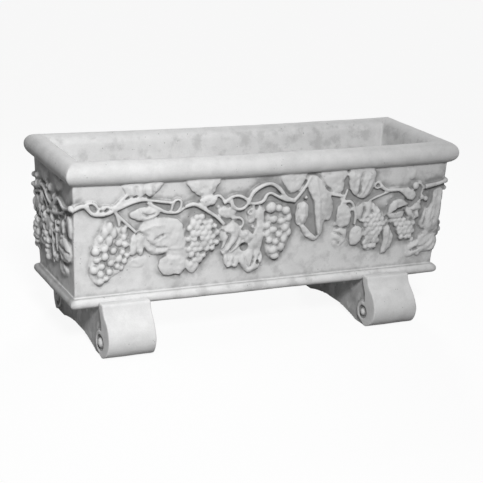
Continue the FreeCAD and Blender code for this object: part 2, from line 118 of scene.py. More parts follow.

# How fine and how even the castings are, and how far round a point looks for occlusion, painted as shade and
# grime
TROUGH_GRAIN = 0.0015
FOOT_GRAIN = 0.0015
MOST_TRIANGLES = 190000
FOOT_TRIANGLES = 60000
OCCLUSION_REACH = 0.026
CREVICE_REACH = 0.008
OCCLUSION_RAYS = 24
RAY_START_GAP = CREVICE_REACH / 10
INDOORS_FROM = RIM_THICKNESS - RIM_INNER_ROUND / 4
INDOOR_SHADE_SHARE = 0.3
INDOOR_CREVICE = 0.2
RIM_STAIN = 0.3
UNDER_RIM = 0.028
UNDER_RIM_SHARE = 0.6
SOFTEN = 0.5
SOFTEN_ROUNDS = 2
BROAD_SWELL_SIZE = 0.11
FINE_SWELL_SIZE = 0.022
FINE_SWELL_SHARE = 0.4
TROUGH_SWELL = 0.0016
FOOT_SWELL = 0.0014

# Painted shade and dirt on the low ground between the motifs, fading out towards the left part of a long
# wall:
# lengths in millimetres, then shares.
HOLLOW_CELL = 3
HOLLOW_REACH = 13
HOLLOW_TOP = 195
HOLLOW_FULL = 5
LOWEST_GROUND = -2
HIGHEST_RELIEF = 16
FAINTEST_UNTIL = -270
FULLEST_FROM = -110
HOLLOW_SHADE_SHARE = 0.16
LEAST_WEIGHT = 1e-6
LEFT_DARK_SHARE = 0.4
LEFT_STAIN_SHARE = 0.5
FOOT_STAIN = 0.3
BAND_SHADE_AND_DIRT = 0.8

# Relief, drawn in millimetres on a wall of this half length and height, from the middle of the wall's foot.
DRAWN_LONG_HALF = 361
DRAWN_END_HALF = 107
DRAWN_HEIGHT = 200
MILLIMETRE = 0.001

# Each leaf: crown height, edge height, outline, and the lines of its grooves and ridges.
LONG_LEAVES = {
    "almond": (9, 4, [(-266, 146), (-255, 154), (-240, 158), (-226, 157), (-214, 150), (-210, 144),
        (-222, 136), (-240, 132), (-256, 136)],
        [[(-246, 152), (-242, 145), (-232, 141), (-220, 144)]]),
    "palmate": (9, 3.5, [(-250, 114), (-243, 128), (-228, 135), (-210, 137), (-190, 135), (-172, 128),
        (-162, 112), (-158, 92), (-160, 72), (-170, 64), (-184, 66), (-198, 70), (-212, 68), (-224, 72),
        (-234, 82), (-240, 94), (-246, 104)],
        [[(-234, 100), (-226, 90), (-214, 82), (-196, 81)], [(-216, 98), (-203, 104)], [(-246, 112),
         (-232, 104)], [(-190, 74), (-180, 72)]],
        [[(-238, 92), (-230, 82), (-216, 74), (-196, 74)], [(-240, 116), (-226, 122), (-208, 124)]]),
    "outer finger": (8, 4, [(-262, 104), (-264, 84), (-260, 72), (-253, 70), (-249, 82), (-249, 104),
        (-255, 110)]),
    "inner finger": (8, 4, [(-248, 100), (-248, 80), (-243, 70), (-237, 74), (-237, 92), (-241, 106)]),
    "low lobe": (9, 5.5, [(-205, 60), (-206, 44), (-200, 32), (-188, 28), (-176, 30), (-168, 28),
        (-159, 35), (-156, 46), (-162, 60), (-175, 66), (-192, 67)]),
    "palmate heel": (6.5, 3.5, [(-192, 80), (-174, 84), (-158, 80), (-152, 62), (-156, 46), (-176, 46),
        (-194, 56)]),
    "low side lobe": (7.5, 3.5, [(-160, 56), (-158, 42), (-154, 36), (-146, 28), (-136, 32), (-131, 42),
        (-136, 50), (-146, 54)]),
    "rim leaf": (7.5, 3.5, [(-273, 202), (-273, 186), (-265, 177), (-254, 180), (-247, 174), (-238, 180),
        (-228, 175), (-218, 182), (-211, 190), (-209, 202)],
        [[(-256, 200), (-253, 182)], [(-241, 200), (-239, 182)], [(-224, 200), (-222, 182)]],
        [[(-265, 194), (-262, 184)], [(-231, 192), (-229, 182)]]),
    "rim drop": (7.5, 4.5, [(-160, 202), (-156, 186), (-144, 174), (-134, 168), (-120, 170), (-110, 176),
        (-106, 186), (-102, 202)],
        [],
        [[(-146, 198), (-136, 178)], [(-116, 198), (-118, 182)]]),
    "rim drop tip": (10, 6, [(-138, 164), (-136, 156), (-128, 151), (-116, 151), (-107, 156), (-104, 164),
        (-112, 170), (-126, 171)]),
    "bud leaf": (4.5, 1.5, [(-102, 138), (-92, 147), (-78, 146), (-66, 136), (-70, 127), (-84, 124),
        (-98, 130)]),
    "ribbed": (9.5, 3.5, [(-98, 102), (-94, 110), (-84, 113), (-74, 119), (-62, 114), (-54, 104), (-50, 92),
        (-52, 76), (-60, 66), (-72, 59), (-84, 57), (-91, 64), (-90, 78), (-96, 90)],
        [[(-58, 92), (-62, 80), (-76, 63)], [(-76, 94), (-80, 82), (-88, 66)], [(-92, 104), (-80, 96)]],
        [[(-70, 104), (-69, 88), (-80, 68)], [(-54, 76), (-64, 68), (-73, 62)], [(-86, 104), (-84, 90)]]),
    "base": (5, 3.5, [(-82, 50), (-85, 62), (-72, 72), (-58, 90), (-40, 96), (-26, 86), (-20, 60),
        (-26, 44), (-50, 40), (-66, 42)]),
    "boss": (9, 4, [(-58, 92), (-53, 100), (-44, 102), (-35, 96), (-30, 87), (-34, 78), (-44, 75),
        (-55, 80)],
        [[(-53, 84), (-46, 80)]],
        [[(-46, 96), (-41, 86)]]),
    "small lobe": (8, 4, [(-84, 54), (-83, 42), (-76, 33), (-68, 34), (-61, 31), (-55, 37), (-54, 48),
        (-62, 56), (-75, 58)],
        [[(-76, 54), (-75, 42)], [(-64, 54), (-65, 40)]]),
    "great lobe": (9, 3.5, [(-54, 48), (-50, 34), (-40, 22), (-28, 19), (-14, 28), (-8, 42), (-12, 58),
        (-25, 64), (-42, 62)],
        [[(-44, 58), (-42, 44), (-36, 30)], [(-26, 63), (-27, 46), (-31, 30)], [(-14, 52), (-19, 38)]]),
    "strip": (7, 4, [(-24, 142), (-26, 124), (-25, 107), (-31, 92), (-33, 74), (-24, 62), (-14, 60),
        (-10, 77), (-9, 97), (-10, 117), (-12, 140)]),
    "oval": (9, 4, [(52, 132), (54, 142), (66, 146), (76, 138), (78, 122), (74, 106), (64, 100), (54, 104),
        (51, 117)],
        [[(58, 138), (56, 122), (60, 106)]],
        [[(66, 136), (67, 122), (64, 108)]]),
    "hanging": (9, 4, [(72, 198), (86, 197), (96, 190), (108, 172), (122, 150), (128, 132), (124, 106),
        (112, 104), (108, 82), (102, 74), (98, 82), (94, 102), (90, 122), (86, 142), (79, 156), (73, 168),
        (70, 184)],
        [],
        [[(86, 190), (96, 152), (100, 112), (101, 84)]]),
    "hanging fold": (8, 4, [(62, 102), (72, 100), (84, 88), (96, 78), (102, 72), (97, 68), (86, 71),
        (74, 80), (66, 92)]),
    "rim lobe": (5, 2.5, [(20, 202), (24, 182), (32, 168), (42, 163), (54, 166), (62, 178), (67, 202)]),
    "rim shell": (5, 2, [(98, 200), (106, 180), (116, 164), (128, 156), (140, 154), (147, 162), (147, 178),
        (150, 200)]),
    "fan": (10, 5, [(158, 200), (156, 180), (160, 162), (170, 150), (184, 143), (196, 146), (206, 158),
        (210, 177), (206, 200)],
        [[(178, 150), (179, 174), (184, 196)]],
        [[(185, 156), (191, 174), (199, 190)], [(172, 160), (174, 190)], [(193, 152), (203, 176)],
         [(163, 172), (164, 194)]]),
    "round": (8, 4, [(136, 117), (138, 130), (148, 136), (160, 130), (167, 114), (166, 97), (156, 90),
        (144, 90), (137, 100)]),
    "egg": (9, 4.5, [(168, 82), (178, 90), (190, 88), (196, 74), (192, 60), (182, 52), (172, 53),
        (168, 66)]),
    "faint": (4.5, 1.5, [(134, 82), (150, 88), (162, 82), (160, 64), (150, 52), (138, 52), (132, 67)],
        [[(136, 80), (148, 76), (158, 66)], [(136, 66), (148, 58)]]),
    "worn head": (7.5, 3.5, [(176, 112), (182, 128), (196, 136), (212, 132), (224, 122), (226, 112),
        (212, 106), (198, 100), (186, 98)],
        [[(192, 132), (194, 118), (190, 104)], [(210, 130), (210, 114)]],
        [[(184, 120), (184, 106)], [(202, 130), (202, 110)]]),
    "curved": (8, 4, [(240, 84), (250, 86), (258, 74), (263, 58), (258, 44), (250, 34), (240, 30),
        (238, 42), (240, 58), (238, 72)],
        [],
        [[(248, 80), (250, 60), (244, 38)]]),
    "folded top": (11, 5, [(245, 108), (246, 122), (256, 134), (268, 137), (282, 130), (286, 124),
        (274, 122), (262, 118), (254, 112)]),
    "folded foot": (10, 5, [(245, 106), (258, 112), (270, 114), (280, 110), (278, 102), (262, 99),
        (250, 100)]),
    "cap": (9, 4, [(262, 154), (276, 157), (290, 155), (300, 148), (303, 138), (296, 132), (284, 135),
        (274, 144)]),
    "right": (9, 4.5, [(282, 112), (284, 120), (292, 118), (300, 125), (312, 123), (318, 114), (312, 108),
        (314, 98), (302, 94), (296, 100), (288, 102)],
        [[(290, 116), (300, 108), (304, 98)], [(302, 110), (314, 112)]]),
    "corner": (9, 4, [(340, 148), (352, 154), (361, 148), (362, 122), (361, 92), (356, 74), (344, 62),
        (334, 58), (330, 72), (322, 74), (318, 88), (322, 106), (332, 114), (338, 132)],
        [[(330, 108), (326, 82)]],
        [[(343, 138), (338, 112), (334, 76)], [(357, 144), (356, 90)], [(346, 144), (345, 108), (339, 72)]]),
    "low right": (6, 2, [(300, 42), (312, 50), (328, 52), (340, 60), (352, 64), (361, 52), (360, 32),
        (352, 26), (336, 26), (320, 22), (300, 18), (294, 26)],
        [[(304, 30), (330, 38)]],
        [[(306, 38), (318, 44)], [(322, 34), (334, 44)], [(338, 34), (350, 46)], [(348, 30), (358, 40)]]),
    "worn": (2, 0.7, [(-262, 64), (-240, 68), (-226, 64), (-232, 52), (-250, 47), (-262, 52)]),
    "rim curl": (3, 1, [(280, 196), (284, 180), (292, 172), (300, 178), (298, 192)]),
}
END_LEAVES = {
    "front leaf": (10, 4, [(36, 84), (44, 98), (62, 102), (82, 98), (96, 88), (98, 74), (90, 62), (72, 56),
        (52, 58), (40, 68)],
        [[(40, 84), (66, 80), (94, 78)], [(44, 92), (64, 96)], [(46, 74), (66, 64)]]),
    "middle": (10, 5, [(-28, 102), (-22, 114), (-8, 116), (2, 108), (0, 94), (-14, 90), (-26, 94)]),
    "upper": (9, 4, [(-20, 128), (-8, 142), (12, 146), (30, 140), (24, 130), (4, 124)],
        [[(-16, 129), (24, 138)]]),
    "back rim lobe": (7, 3, [(-60, 200), (-56, 182), (-42, 172), (-28, 176), (-20, 200)]),
    "front rim lobe": (7, 3, [(20, 200), (26, 184), (42, 176), (58, 184), (64, 200)]),
    "back leaf": (8, 4, [(-100, 120), (-92, 134), (-76, 136), (-62, 126), (-66, 112), (-82, 106)]),
    "corner": (7, 3, [(84, 140), (94, 146), (103, 138), (104, 120), (98, 106), (90, 112), (86, 126)]),
    "low": (5, 2, [(30, 44), (44, 52), (64, 50), (76, 40), (64, 30), (44, 28)]),
}

# Each strand of the vine: radius, and its course.
LONG_STRANDS = [
    (4.2, [(-368, 158), (-356, 166), (-345, 167), (-338, 158), (-330, 150), (-312, 149), (-298, 152),
           (-286, 158)]),
    (2.8, [(-346, 167), (-336, 172), (-326, 168), (-319, 156), (-313, 162), (-303, 162), (-294, 157)]),
    (3.6, [(-296, 154), (-280, 160), (-260, 168), (-242, 171), (-222, 168), (-204, 164), (-188, 161)]),
    (3.2, [(-291, 159), (-282, 170), (-271, 181)]),
    (2.8, [(-284, 165), (-270, 172), (-252, 174), (-234, 173)]),
    (3.4, [(-291, 153), (-284, 140), (-282, 126)]),
    (3.4, [(-287, 147), (-270, 130), (-251, 112)]),
    (3.2, [(-234, 165), (-216, 154), (-200, 145), (-186, 143), (-174, 143), (-162, 153), (-150, 158)]),
    (3.0, [(-189, 148), (-186, 163), (-178, 168), (-170, 162), (-172, 149), (-181, 142)]),
    (4.2, [(-164, 152), (-150, 158), (-136, 152), (-119, 140), (-98, 126), (-88, 114)]),
    (3.2, [(-114, 168), (-102, 171), (-95, 164), (-88, 154), (-80, 155)]),
    (4.0, [(-92, 153), (-80, 162), (-68, 167), (-56, 164), (-46, 156), (-38, 148)]),
    (4.0, [(-77, 158), (-75, 148), (-66, 141), (-56, 140), (-47, 145), (-42, 154)]),
    (4.6, [(-44, 148), (-41, 164), (-30, 177), (-16, 185), (-3, 187), (9, 181), (19, 170), (27, 158),
           (37, 151), (49, 148)]),
    (4.0, [(46, 148), (54, 156), (62, 167), (70, 180), (77, 196)]),
    (4.0, [(-37, 149), (-22, 148), (-13, 154), (-10, 164), (-2, 168), (8, 162), (20, 156), (33, 150),
           (46, 148)]),
    (3.0, [(-34, 148), (-30, 134), (-26, 121)]),
    (2.4, [(-43, 133), (-40, 138), (-35, 138), (-32, 133), (-35, 128), (-40, 128), (-43, 133)]),
    (3.0, [(-74, 124), (-60, 126), (-52, 120), (-50, 112), (-55, 105)]),
    (3.0, [(99, 173), (111, 162), (124, 153), (146, 150)]),
    (3.0, [(145, 134), (150, 148), (155, 163)]),
    (3.4, [(148, 138), (160, 141), (169, 134), (175, 120), (178, 106), (176, 93)]),
    (2.8, [(204, 138), (222, 145), (242, 152)]),
    (3.8, [(224, 165), (233, 156), (248, 154), (266, 154), (282, 153)]),
    (2.8, [(210, 166), (214, 172), (221, 172), (225, 166), (221, 160), (214, 160), (210, 166)]),
    (2.8, [(203, 140), (207, 130), (208, 121)]),
    (4.6, [(320, 157), (338, 159), (356, 163), (365, 166)]),
    (2.4, [(306, 165), (315, 161), (318, 151), (314, 142)]),
]
END_STRANDS = [
    (4.6, [(-109, 150), (-84, 150), (-66, 158), (-52, 164), (-36, 160), (-20, 148), (0, 140), (18, 146),
           (34, 160), (44, 163), (58, 158), (72, 152), (90, 156), (110, 162)]),
    (3.4, [(-102, 138), (-80, 144), (-60, 148), (-40, 142), (-24, 130)]),
    (3.4, [(20, 130), (40, 136), (60, 140), (78, 152)]),
    (3.0, [(-30, 152), (-30, 130), (-31, 112)]),
    (3.2, [(-60, 112), (-56, 84), (-62, 52)]),
    (3.2, [(2, 96), (-3, 66), (4, 36)]),
    (2.8, [(22, 118), (17, 92), (24, 62)]),
]

# Single grapes, berries and knobs: along, up, radius across, radius up.
LONG_BERRIES = [
    (-300, 125, 6, 10), (-308, 115, 5.5, 9), (-315, 104, 4.5, 5.5), (-292, 114, 5.5, 9), (-300, 101, 6, 9),
    (-274, 118, 5, 7), (-274, 106, 5.5, 6.5), (-271, 93, 6, 6), (-283, 97, 6.5, 6.5), (-323, 84, 7, 7),
    (-308, 88, 7, 7), (-307, 74, 7, 7), (-292, 84, 6.5, 6.5), (-276, 80, 6, 6), (-320, 69, 6, 6),
    (-267, 73, 5, 5), (-282, 68, 7, 7), (-271, 63, 5, 5.5), (-296, 62, 6.5, 6.5), (-312, 57, 6.5, 6.5),
    (-284, 55, 5.5, 5.5), (-325, 51, 7.5, 7.5), (-276, 51, 4.5, 4.5), (-298, 46, 6.5, 6.5),
    (-313, 42, 6.5, 6.5), (-303, 34, 5.5, 5), (-314, 29, 7, 6), (-340, 163, 4, 4.5), (-322, 152, 4, 4),
    (-312, 160, 4.5, 4), (-303, 152, 4, 3.5), (-293, 158, 4.5, 5), (-281, 164, 3.5, 4), (0, 140, 10, 10),
    (316, 136, 4.5, 4.5), (325, 133, 4.5, 4.5), (310, 127, 4, 4), (299, 160, 6, 7), (364, 166, 5, 5),
    (70, 153, 3.5, 3.5), (16, 137, 7.5, 7), (31, 132, 8, 8), (37, 118, 6.5, 7.5), (23, 113, 8, 7),
    (7, 118, 8, 8), (-4, 106, 6.5, 7), (31, 100, 8.5, 8), (8, 98, 8.5, 7), (20, 88, 7, 7), (39, 90, 6, 8),
    (2, 78, 7, 7), (15, 74, 7, 7), (30, 78, 7, 8), (11, 59, 9, 8), (26, 63, 7, 8), (16, 47, 8, 6.5),
    (-3, 90, 5.5, 7),
]
END_BERRIES = [(109, 162, 5.5, 5.5)]

# Worn growth on the ground between the motifs: how many lumps, smallest and largest radius, lift, outline.
LONG_ROUGH = [
    (70, 2.5, 4.5, -3.4, [(132, 148), (182, 138), (240, 148), (262, 150), (300, 130), (336, 110), (336, 60),
           (300, 52), (250, 42), (200, 38), (134, 56)]),
    (16, 2.5, 4.5, -3.8, [(-104, 150), (-40, 142), (-24, 140), (-26, 100), (-50, 118), (-102, 120)]),
    (18, 2.5, 4.5, -2.8, [(300, 54), (330, 60), (361, 66), (361, 24), (318, 20), (296, 26)]),
]
END_ROUGH = [
    (56, 3.5, 7, -2.2, [(-106, 168), (-60, 178), (-10, 170), (30, 152), (36, 96), (26, 44), (-60, 38),
           (-106, 56)]),
    (8, 3, 6, -3.0, [(36, 150), (104, 146), (104, 106), (36, 104)]),
]

# Each cluster: grape radius and outline.
LONG_CLUSTERS = [
    (5.7, [(-155, 120), (-148, 134), (-128, 136), (-110, 124), (-99, 100), (-101, 80), (-116, 60),
           (-134, 47), (-148, 38), (-153, 60), (-157, 90)]),
    (4.7, [(192, 100), (204, 110), (222, 118), (236, 110), (238, 96), (236, 80), (231, 58), (222, 42),
           (206, 40), (198, 56), (195, 76)]),
    (4.7, [(258, 98), (272, 97), (290, 93), (308, 91), (307, 76), (299, 60), (290, 52), (279, 57),
           (269, 72), (259, 88)]),
]
END_CLUSTERS = [
    (6.3, [(-44, 114), (-30, 118), (-16, 110), (-13, 86), (-18, 60), (-28, 32), (-37, 42), (-46, 70),
           (-49, 94)]),
    (6.0, [(-108, 84), (-94, 94), (-77, 88), (-72, 66), (-83, 44), (-98, 42), (-108, 62)]),
]

# Pockets sunk between the leaves: along, up, radius, depth.
LONG_POCKETS = [(-46, 69, 6.5, 11), (-19, 37, 4, 6)]

# Cushions under the two clusters whose grapes are placed one by one: crown height and outline.
LONG_CUSHIONS = [
    (4.8, [(-301, 136), (-288, 126), (-272, 126), (-265, 110), (-262, 88), (-263, 68), (-272, 48),
           (-290, 36), (-304, 26), (-320, 24), (-333, 46), (-329, 72), (-328, 92), (-318, 112),
           (-310, 130)]),
    (6.6, [(-8, 126), (6, 134), (30, 140), (43, 130), (46, 108), (43, 82), (34, 58), (18, 42), (4, 46),
           (-6, 66), (-9, 90)]),
]

RELIEF_ROOT = 0.012
LEAF_SINK = 0.3
GROOVE_WIDTH = 2.5
GROOVE_DEPTH = 3.8
RIDGE_WIDTH = 2.6
RIDGE_HEIGHT = 1.8
EDGE_WANDER = 1.6
STRAND_LIFT_SHARE = 0.8
GRAPE_LIFT = 2.6
CLUSTER_SWELL = 2.5
CUSHION_CROWN = 4.8
CUSHION_EDGE = 2.5
LEAF_RELIEF = 0.88
LEAF_RINGS = 14
LEAF_FULLNESS = 4
OUTLINE_STEPS = 6
MERGE_DISTANCE = MILLIMETRE / 20
STRAND_WAVE, STRAND_WAVE_PITCH = 0.6, 0.15
STRAND_TAPER = 0.2
STRAND_KNOTS, STRAND_KNOT_PITCH = 0.12, 0.4
STRAND_ROUNDNESS = 4
GRAPE_GROWTH = 1.15
GRAPE_ROUNDNESS = 3
GRAPE_PITCH = 2.0
ROW_PITCH = 0.87
FIRST_ROW, FIRST_GRAPE = 0.7, 0.6
GRAPE_JITTER = 0.14
GRAPE_SIZES = (0.88, 1.12)
GRAPE_LENGTHS = (1, 1.1)
LUMP_LENGTHS = (0.8, 1.6)
POCKET_BEHIND, POCKET_BEFORE = 0.012, 0.006
POCKET_EDGE = 4
RELIEF_SEED = 11

# Unevenness of the cut leaves: wave size in drawn millimetres and layer of the noise, and depth.
BROAD_WAVES, BROAD_DEPTH = (13, 2), 1.2
FINE_WAVES, FINE_DEPTH = (5, 7), 0.9
FOLD_WAVES, FOLD_DEPTH = (10, 11), 0.9
EDGE_WAVES = (6, 4)


# Operators

def fresh():
    """Leave edit mode with nothing selected, so that the next operator acts on its own piece alone."""
    if bpy.context.mode != "OBJECT":
        bpy.ops.object.mode_set(mode="OBJECT")
    bpy.ops.object.select_all(action="DESELECT")


def choose(piece):
    fresh()
    piece.select_set(True)
    bpy.context.view_layer.objects.active = piece


def modified(piece, kind, **settings):
    """Add a modifier with these settings and apply it."""
    modifier = piece.modifiers.new(kind, kind)
    for name, setting in settings.items():
        setattr(modifier, name, setting)
    choose(piece)
    bpy.ops.object.modifier_apply(modifier=modifier.name)


def drilled(piece, drill):
    modified(piece, "BOOLEAN", operation="DIFFERENCE", object=drill, solver="EXACT")
    bpy.data.objects.remove(drill)


def edit_all():
    """Edit the active piece with all of it selected."""
    bpy.ops.object.mode_set(mode="EDIT")
    bpy.ops.mesh.select_all(action="SELECT")


def thickened(offset):
    """Draw the sheet being edited out by an offset into a closed solid, and leave edit mode."""
    bpy.ops.mesh.extrude_region_move(TRANSFORM_OT_translate={"value": offset})
    bpy.ops.mesh.select_all(action="SELECT")
    bpy.ops.mesh.normals_make_consistent(inside=False)
    fresh()


def joined(pieces, name):
    fresh()
    for piece in pieces:
        piece.select_set(True)
    bpy.context.view_layer.objects.active = pieces[0]
    bpy.ops.object.join()
    pieces[0].name = name
    bpy.ops.object.transform_apply(location=True, rotation=True, scale=True)
    return pieces[0]


def points_of(mesh):
    points = np.empty(len(mesh.vertices) * 3)
    mesh.vertices.foreach_get("co", points)
    return points.reshape(-1, 3)


def move_points(mesh, points):
    mesh.vertices.foreach_set("co", np.asarray(points, float).ravel())
    mesh.update()


# Trough

def arc(centre, radius, start, end, count):
    """Points of an arc in degrees, from the first to the last."""
    angles = np.radians(np.linspace(start, end, count))
    return [(centre[0] + radius * math.cos(angle), centre[1] + radius * math.sin(angle))
            for angle in angles]


def trough_section():
    """Inset from the rim's outermost line, and height: up the outside, over the rim and down the inside."""
    band = BAND_HEIGHT / 2
    nose = RIM_HEIGHT / 2
    nose_start = 180 + math.degrees(math.acos((nose - RIM_OVERHANG) / nose))
    floor = SEAT + FLOOR_THICKNESS
    floor_inset = RIM_THICKNESS + INNER_LEAN
    return (arc((WALL_FOOT_INSET, SEAT + band), band, 270, 90, BAND_STEPS)
            + arc((nose, RIM_MIDDLE), nose, nose_start, 90, NOSE_STEPS)
            + arc((RIM_THICKNESS - RIM_INNER_ROUND, RIM_TOP - RIM_INNER_ROUND), RIM_INNER_ROUND, 90, 0,
                  INNER_ROUND_STEPS)
            + arc((floor_inset + FLOOR_ROUND, floor + FLOOR_ROUND), FLOOR_ROUND, 180, 270,
                  FLOOR_ROUND_STEPS))


def trough_body():
    """The plain casting: a sheet drawn up, out, in and down through the section."""
    (inset, height), *steps = trough_section()
    fresh()
    bpy.ops.mesh.primitive_plane_add(size=2, location=(0, 0, height))
    body = bpy.context.object
    body.scale = (HALF_LENGTH - inset, HALF_WIDTH - inset, 1)
    bpy.ops.object.transform_apply(location=True, scale=True)
    edit_all()
    for next_inset, next_height in steps:
        bpy.ops.mesh.extrude_region_move(TRANSFORM_OT_translate={"value": (0, 0, next_height - height)})
        growth = [(half - next_inset) / (half - inset) for half in (HALF_LENGTH, HALF_WIDTH)]
        bpy.ops.transform.resize(value=(*growth, 1), center_override=(0, 0, next_height))
        inset, height = next_inset, next_height
    bpy.ops.mesh.select_all(action="SELECT")
    bpy.ops.mesh.normals_make_consistent(inside=False)
    for side in (-1, 1):
        fresh()
        bpy.ops.mesh.primitive_cylinder_add(vertices=DRAIN_SIDES, radius=DRAIN_RADIUS, depth=DRILL_LENGTH,
                                            location=(side * DRAIN_SPACING / 2, 0, SEAT))
        drilled(body, bpy.context.object)
    return body


# Relief

class Wall:
    """One sloping wall: drawn millimetres to places in the planter."""

    def __init__(self, half_length, depth, turn, drawn_half):
        self.across = (half_length - RIM_OVERHANG - WALL_LEAN / 2) / drawn_half
        self.upward = math.hypot(RIM_BOTTOM - BAND_TOP, WALL_LEAN) / DRAWN_HEIGHT
        lean = math.atan2(WALL_LEAN, RIM_BOTTOM - BAND_TOP)
        foot = Matrix.Translation((0, WALL_FOOT_INSET - depth, BAND_TOP))
        slope = Matrix.Rotation(math.pi / 2 + lean, 4, "X")
        self.matrix = Matrix.Rotation(turn, 4, "Z") @ foot @ slope

    def flat(self, along, up, out=0):
        """A drawn point in the wall's own frame, out from its face."""
        return Vector((along * self.across, up * self.upward, out * MILLIMETRE))


def smooth_loop(corners, steps):
    """A closed curve through the corners."""
    points = []
    count = len(corners)
    shares = np.linspace(0, 1, steps, endpoint=False)
    for index in range(count):
        before, start, end, after = (np.array(corners[(index + k) % count], float) for k in (-1, 0, 1, 2))
        for share in shares:
            points.append(0.5 * (2 * start + (end - before) * share
                                 + (2 * before - 5 * start + 4 * end - after) * share ** 2
                                 + (3 * start - before - 3 * end + after) * share ** 3))
    return np.array(points)


def distance_to_line(points, line):
    """How far each point lies from a line of straight runs."""
    nearest = np.full(len(points), np.inf)
    for start, end in zip(line, line[1:]):
        start = np.array(start, float)
        run = np.array(end, float) - start
        share = np.clip((points - start) @ run / (run @ run), 0, 1)
        nearest = np.minimum(nearest, np.linalg.norm(points - start - share[:, None] * run, axis=1))
    return nearest


def waves(points, size, layer):
    """Smooth noise at drawn points, about 0."""
    return np.array([noise.noise((along / size, up / size, layer)) for along, up in points])


def uneven(points):
    """Hand-cut unevenness over a wall, in drawn millimetres."""
    folds = 2 * np.abs(waves(points, *FOLD_WAVES)) - 0.5
    swells = BROAD_DEPTH * waves(points, *BROAD_WAVES) + FINE_DEPTH * waves(points, *FINE_WAVES)
    return swells - FOLD_DEPTH * folds


def leaf(wall, crown, edge, outline, grooves=(), ridges=()):
    """A cut leaf: rings drawn in from its outline to its middle, thickened into the wall."""
    rim = smooth_loop(outline, OUTLINE_STEPS)
    middle = rim.mean(axis=0)
    outward = (rim - middle) / np.linalg.norm(rim - middle, axis=1)[:, None]
    rim = rim + EDGE_WANDER * waves(rim, *EDGE_WAVES)[:, None] * outward
    fresh()
    bpy.ops.mesh.primitive_grid_add(x_subdivisions=len(rim), y_subdivisions=LEAF_RINGS, size=1)
    piece = bpy.context.object
    closed_rim = np.vstack([rim, rim[:1]])
    inward = np.repeat(np.linspace(1, 0, LEAF_RINGS + 1), len(closed_rim))
    flat = middle + (np.tile(closed_rim, (LEAF_RINGS + 1, 1)) - middle) * inward[:, None]
    swell = (1 - inward ** LEAF_FULLNESS) * (1 - LEAF_SINK * (1 - inward) ** 2)
    height = LEAF_RELIEF * (edge + (crown - edge) * swell) + uneven(flat)
    for groove in grooves:
        height -= GROOVE_DEPTH * np.exp(-(distance_to_line(flat, groove) / GROOVE_WIDTH) ** 2)
    for ridge in ridges:
        height += RIDGE_HEIGHT * np.exp(-(distance_to_line(flat, ridge) / RIDGE_WIDTH) ** 2)
    move_points(piece.data, [wall.flat(along, up, out) for (along, up), out in zip(flat, height)])
    edit_all()
    bpy.ops.mesh.remove_doubles(threshold=MERGE_DISTANCE)
    bpy.ops.mesh.normals_make_consistent(inside=False)
    thickened((0, 0, -RELIEF_ROOT))
    piece.matrix_world = wall.matrix
    return piece


def strand(wall, radius, course):
    """A round stem along its course, thinner towards its end."""
    curve = bpy.data.curves.new("strand", "CURVE")
    curve.dimensions = "3D"
    curve.bevel_depth = radius * MILLIMETRE
    curve.bevel_resolution = STRAND_ROUNDNESS
    curve.use_fill_caps = True
    line = curve.splines.new("NURBS")
    line.points.add(len(course) - 1)
    for index, (point, (along, up)) in enumerate(zip(line.points, course)):
        wave = STRAND_WAVE * math.sin(along * STRAND_WAVE_PITCH + radius)
        point.co = (*wall.flat(along, up, STRAND_LIFT_SHARE * radius + wave), 1)
        knot = STRAND_KNOTS * math.sin(along * STRAND_KNOT_PITCH)
        point.radius = 1 - STRAND_TAPER * index / len(course) + knot
    line.order_u = 3
    line.use_endpoint_u = True
    piece = bpy.data.objects.new("strand", curve)
    bpy.context.collection.objects.link(piece)
    choose(piece)
    bpy.ops.object.convert(target="MESH")
    piece.matrix_world = wall.matrix
    return piece


def inside(point, outline):
    """Whether a point lies within an outline."""
    crossings = 0
    for (x1, y1), (x2, y2) in zip(outline, outline[1:] + outline[:1]):
        if (y1 > point[1]) != (y2 > point[1]) and point[0] < x1 + (point[1] - y1) * (x2 - x1) / (y2 - y1):
            crossings += 1
    return crossings % 2 == 1


def cluster_grapes(radius, outline, chance):
    """Grapes packed within an outline, fuller towards its middle: along, up, radius, radius, lift."""
    outline_points = np.array(outline, float)
    low = outline_points.min(axis=0)
    high = outline_points.max(axis=0)
    middle = outline_points.mean(axis=0)
    pitch = GRAPE_PITCH * radius
    grapes = []
    for row in range(int((high[1] - low[1]) / (ROW_PITCH * pitch)) + 1):
        up = high[1] - radius * FIRST_ROW - row * ROW_PITCH * pitch
        along = low[0] + radius * FIRST_GRAPE + (row % 2) * pitch / 2
        while along < high[0]:
            place = [part + chance.uniform(-GRAPE_JITTER, GRAPE_JITTER) * pitch for part in (along, up)]
            if inside(place, outline):
                away = np.linalg.norm((np.array(place) - middle) / (high - low)) * 2
                size = radius * chance.uniform(*GRAPE_SIZES)
                length = size * chance.uniform(*GRAPE_LENGTHS)
                grapes.append((*place, size, length, CLUSTER_SWELL * max(0, 1 - away)))
            along += pitch
    return grapes


def scattered(count, smallest, largest, lift, outline, chance):
    """Low lumps strewn within an outline: along, up, radius, radius, lift."""
    corners = np.array(outline, float)
    low = corners.min(axis=0)
    high = corners.max(axis=0)
    lumps = []
    while len(lumps) < count:
        place = (chance.uniform(low[0], high[0]), chance.uniform(low[1], high[1]))
        if inside(place, outline):
            size = chance.uniform(smallest, largest)
            lumps.append((*place, size, size * chance.uniform(*LUMP_LENGTHS), lift))
    return lumps


def berry(wall, pattern, along, up, across_radius, up_radius, swell=0):
    piece = pattern.copy()
    piece.data = pattern.data.copy()
    bpy.context.collection.objects.link(piece)
    place = Matrix.Translation(wall.flat(along, up, GRAPE_LIFT + swell))
    widths = [GRAPE_GROWTH * width for width in (across_radius, up_radius, min(across_radius, up_radius))]
    size = Matrix.Diagonal((*widths, 1))
    piece.matrix_world = wall.matrix @ place @ size
    return piece


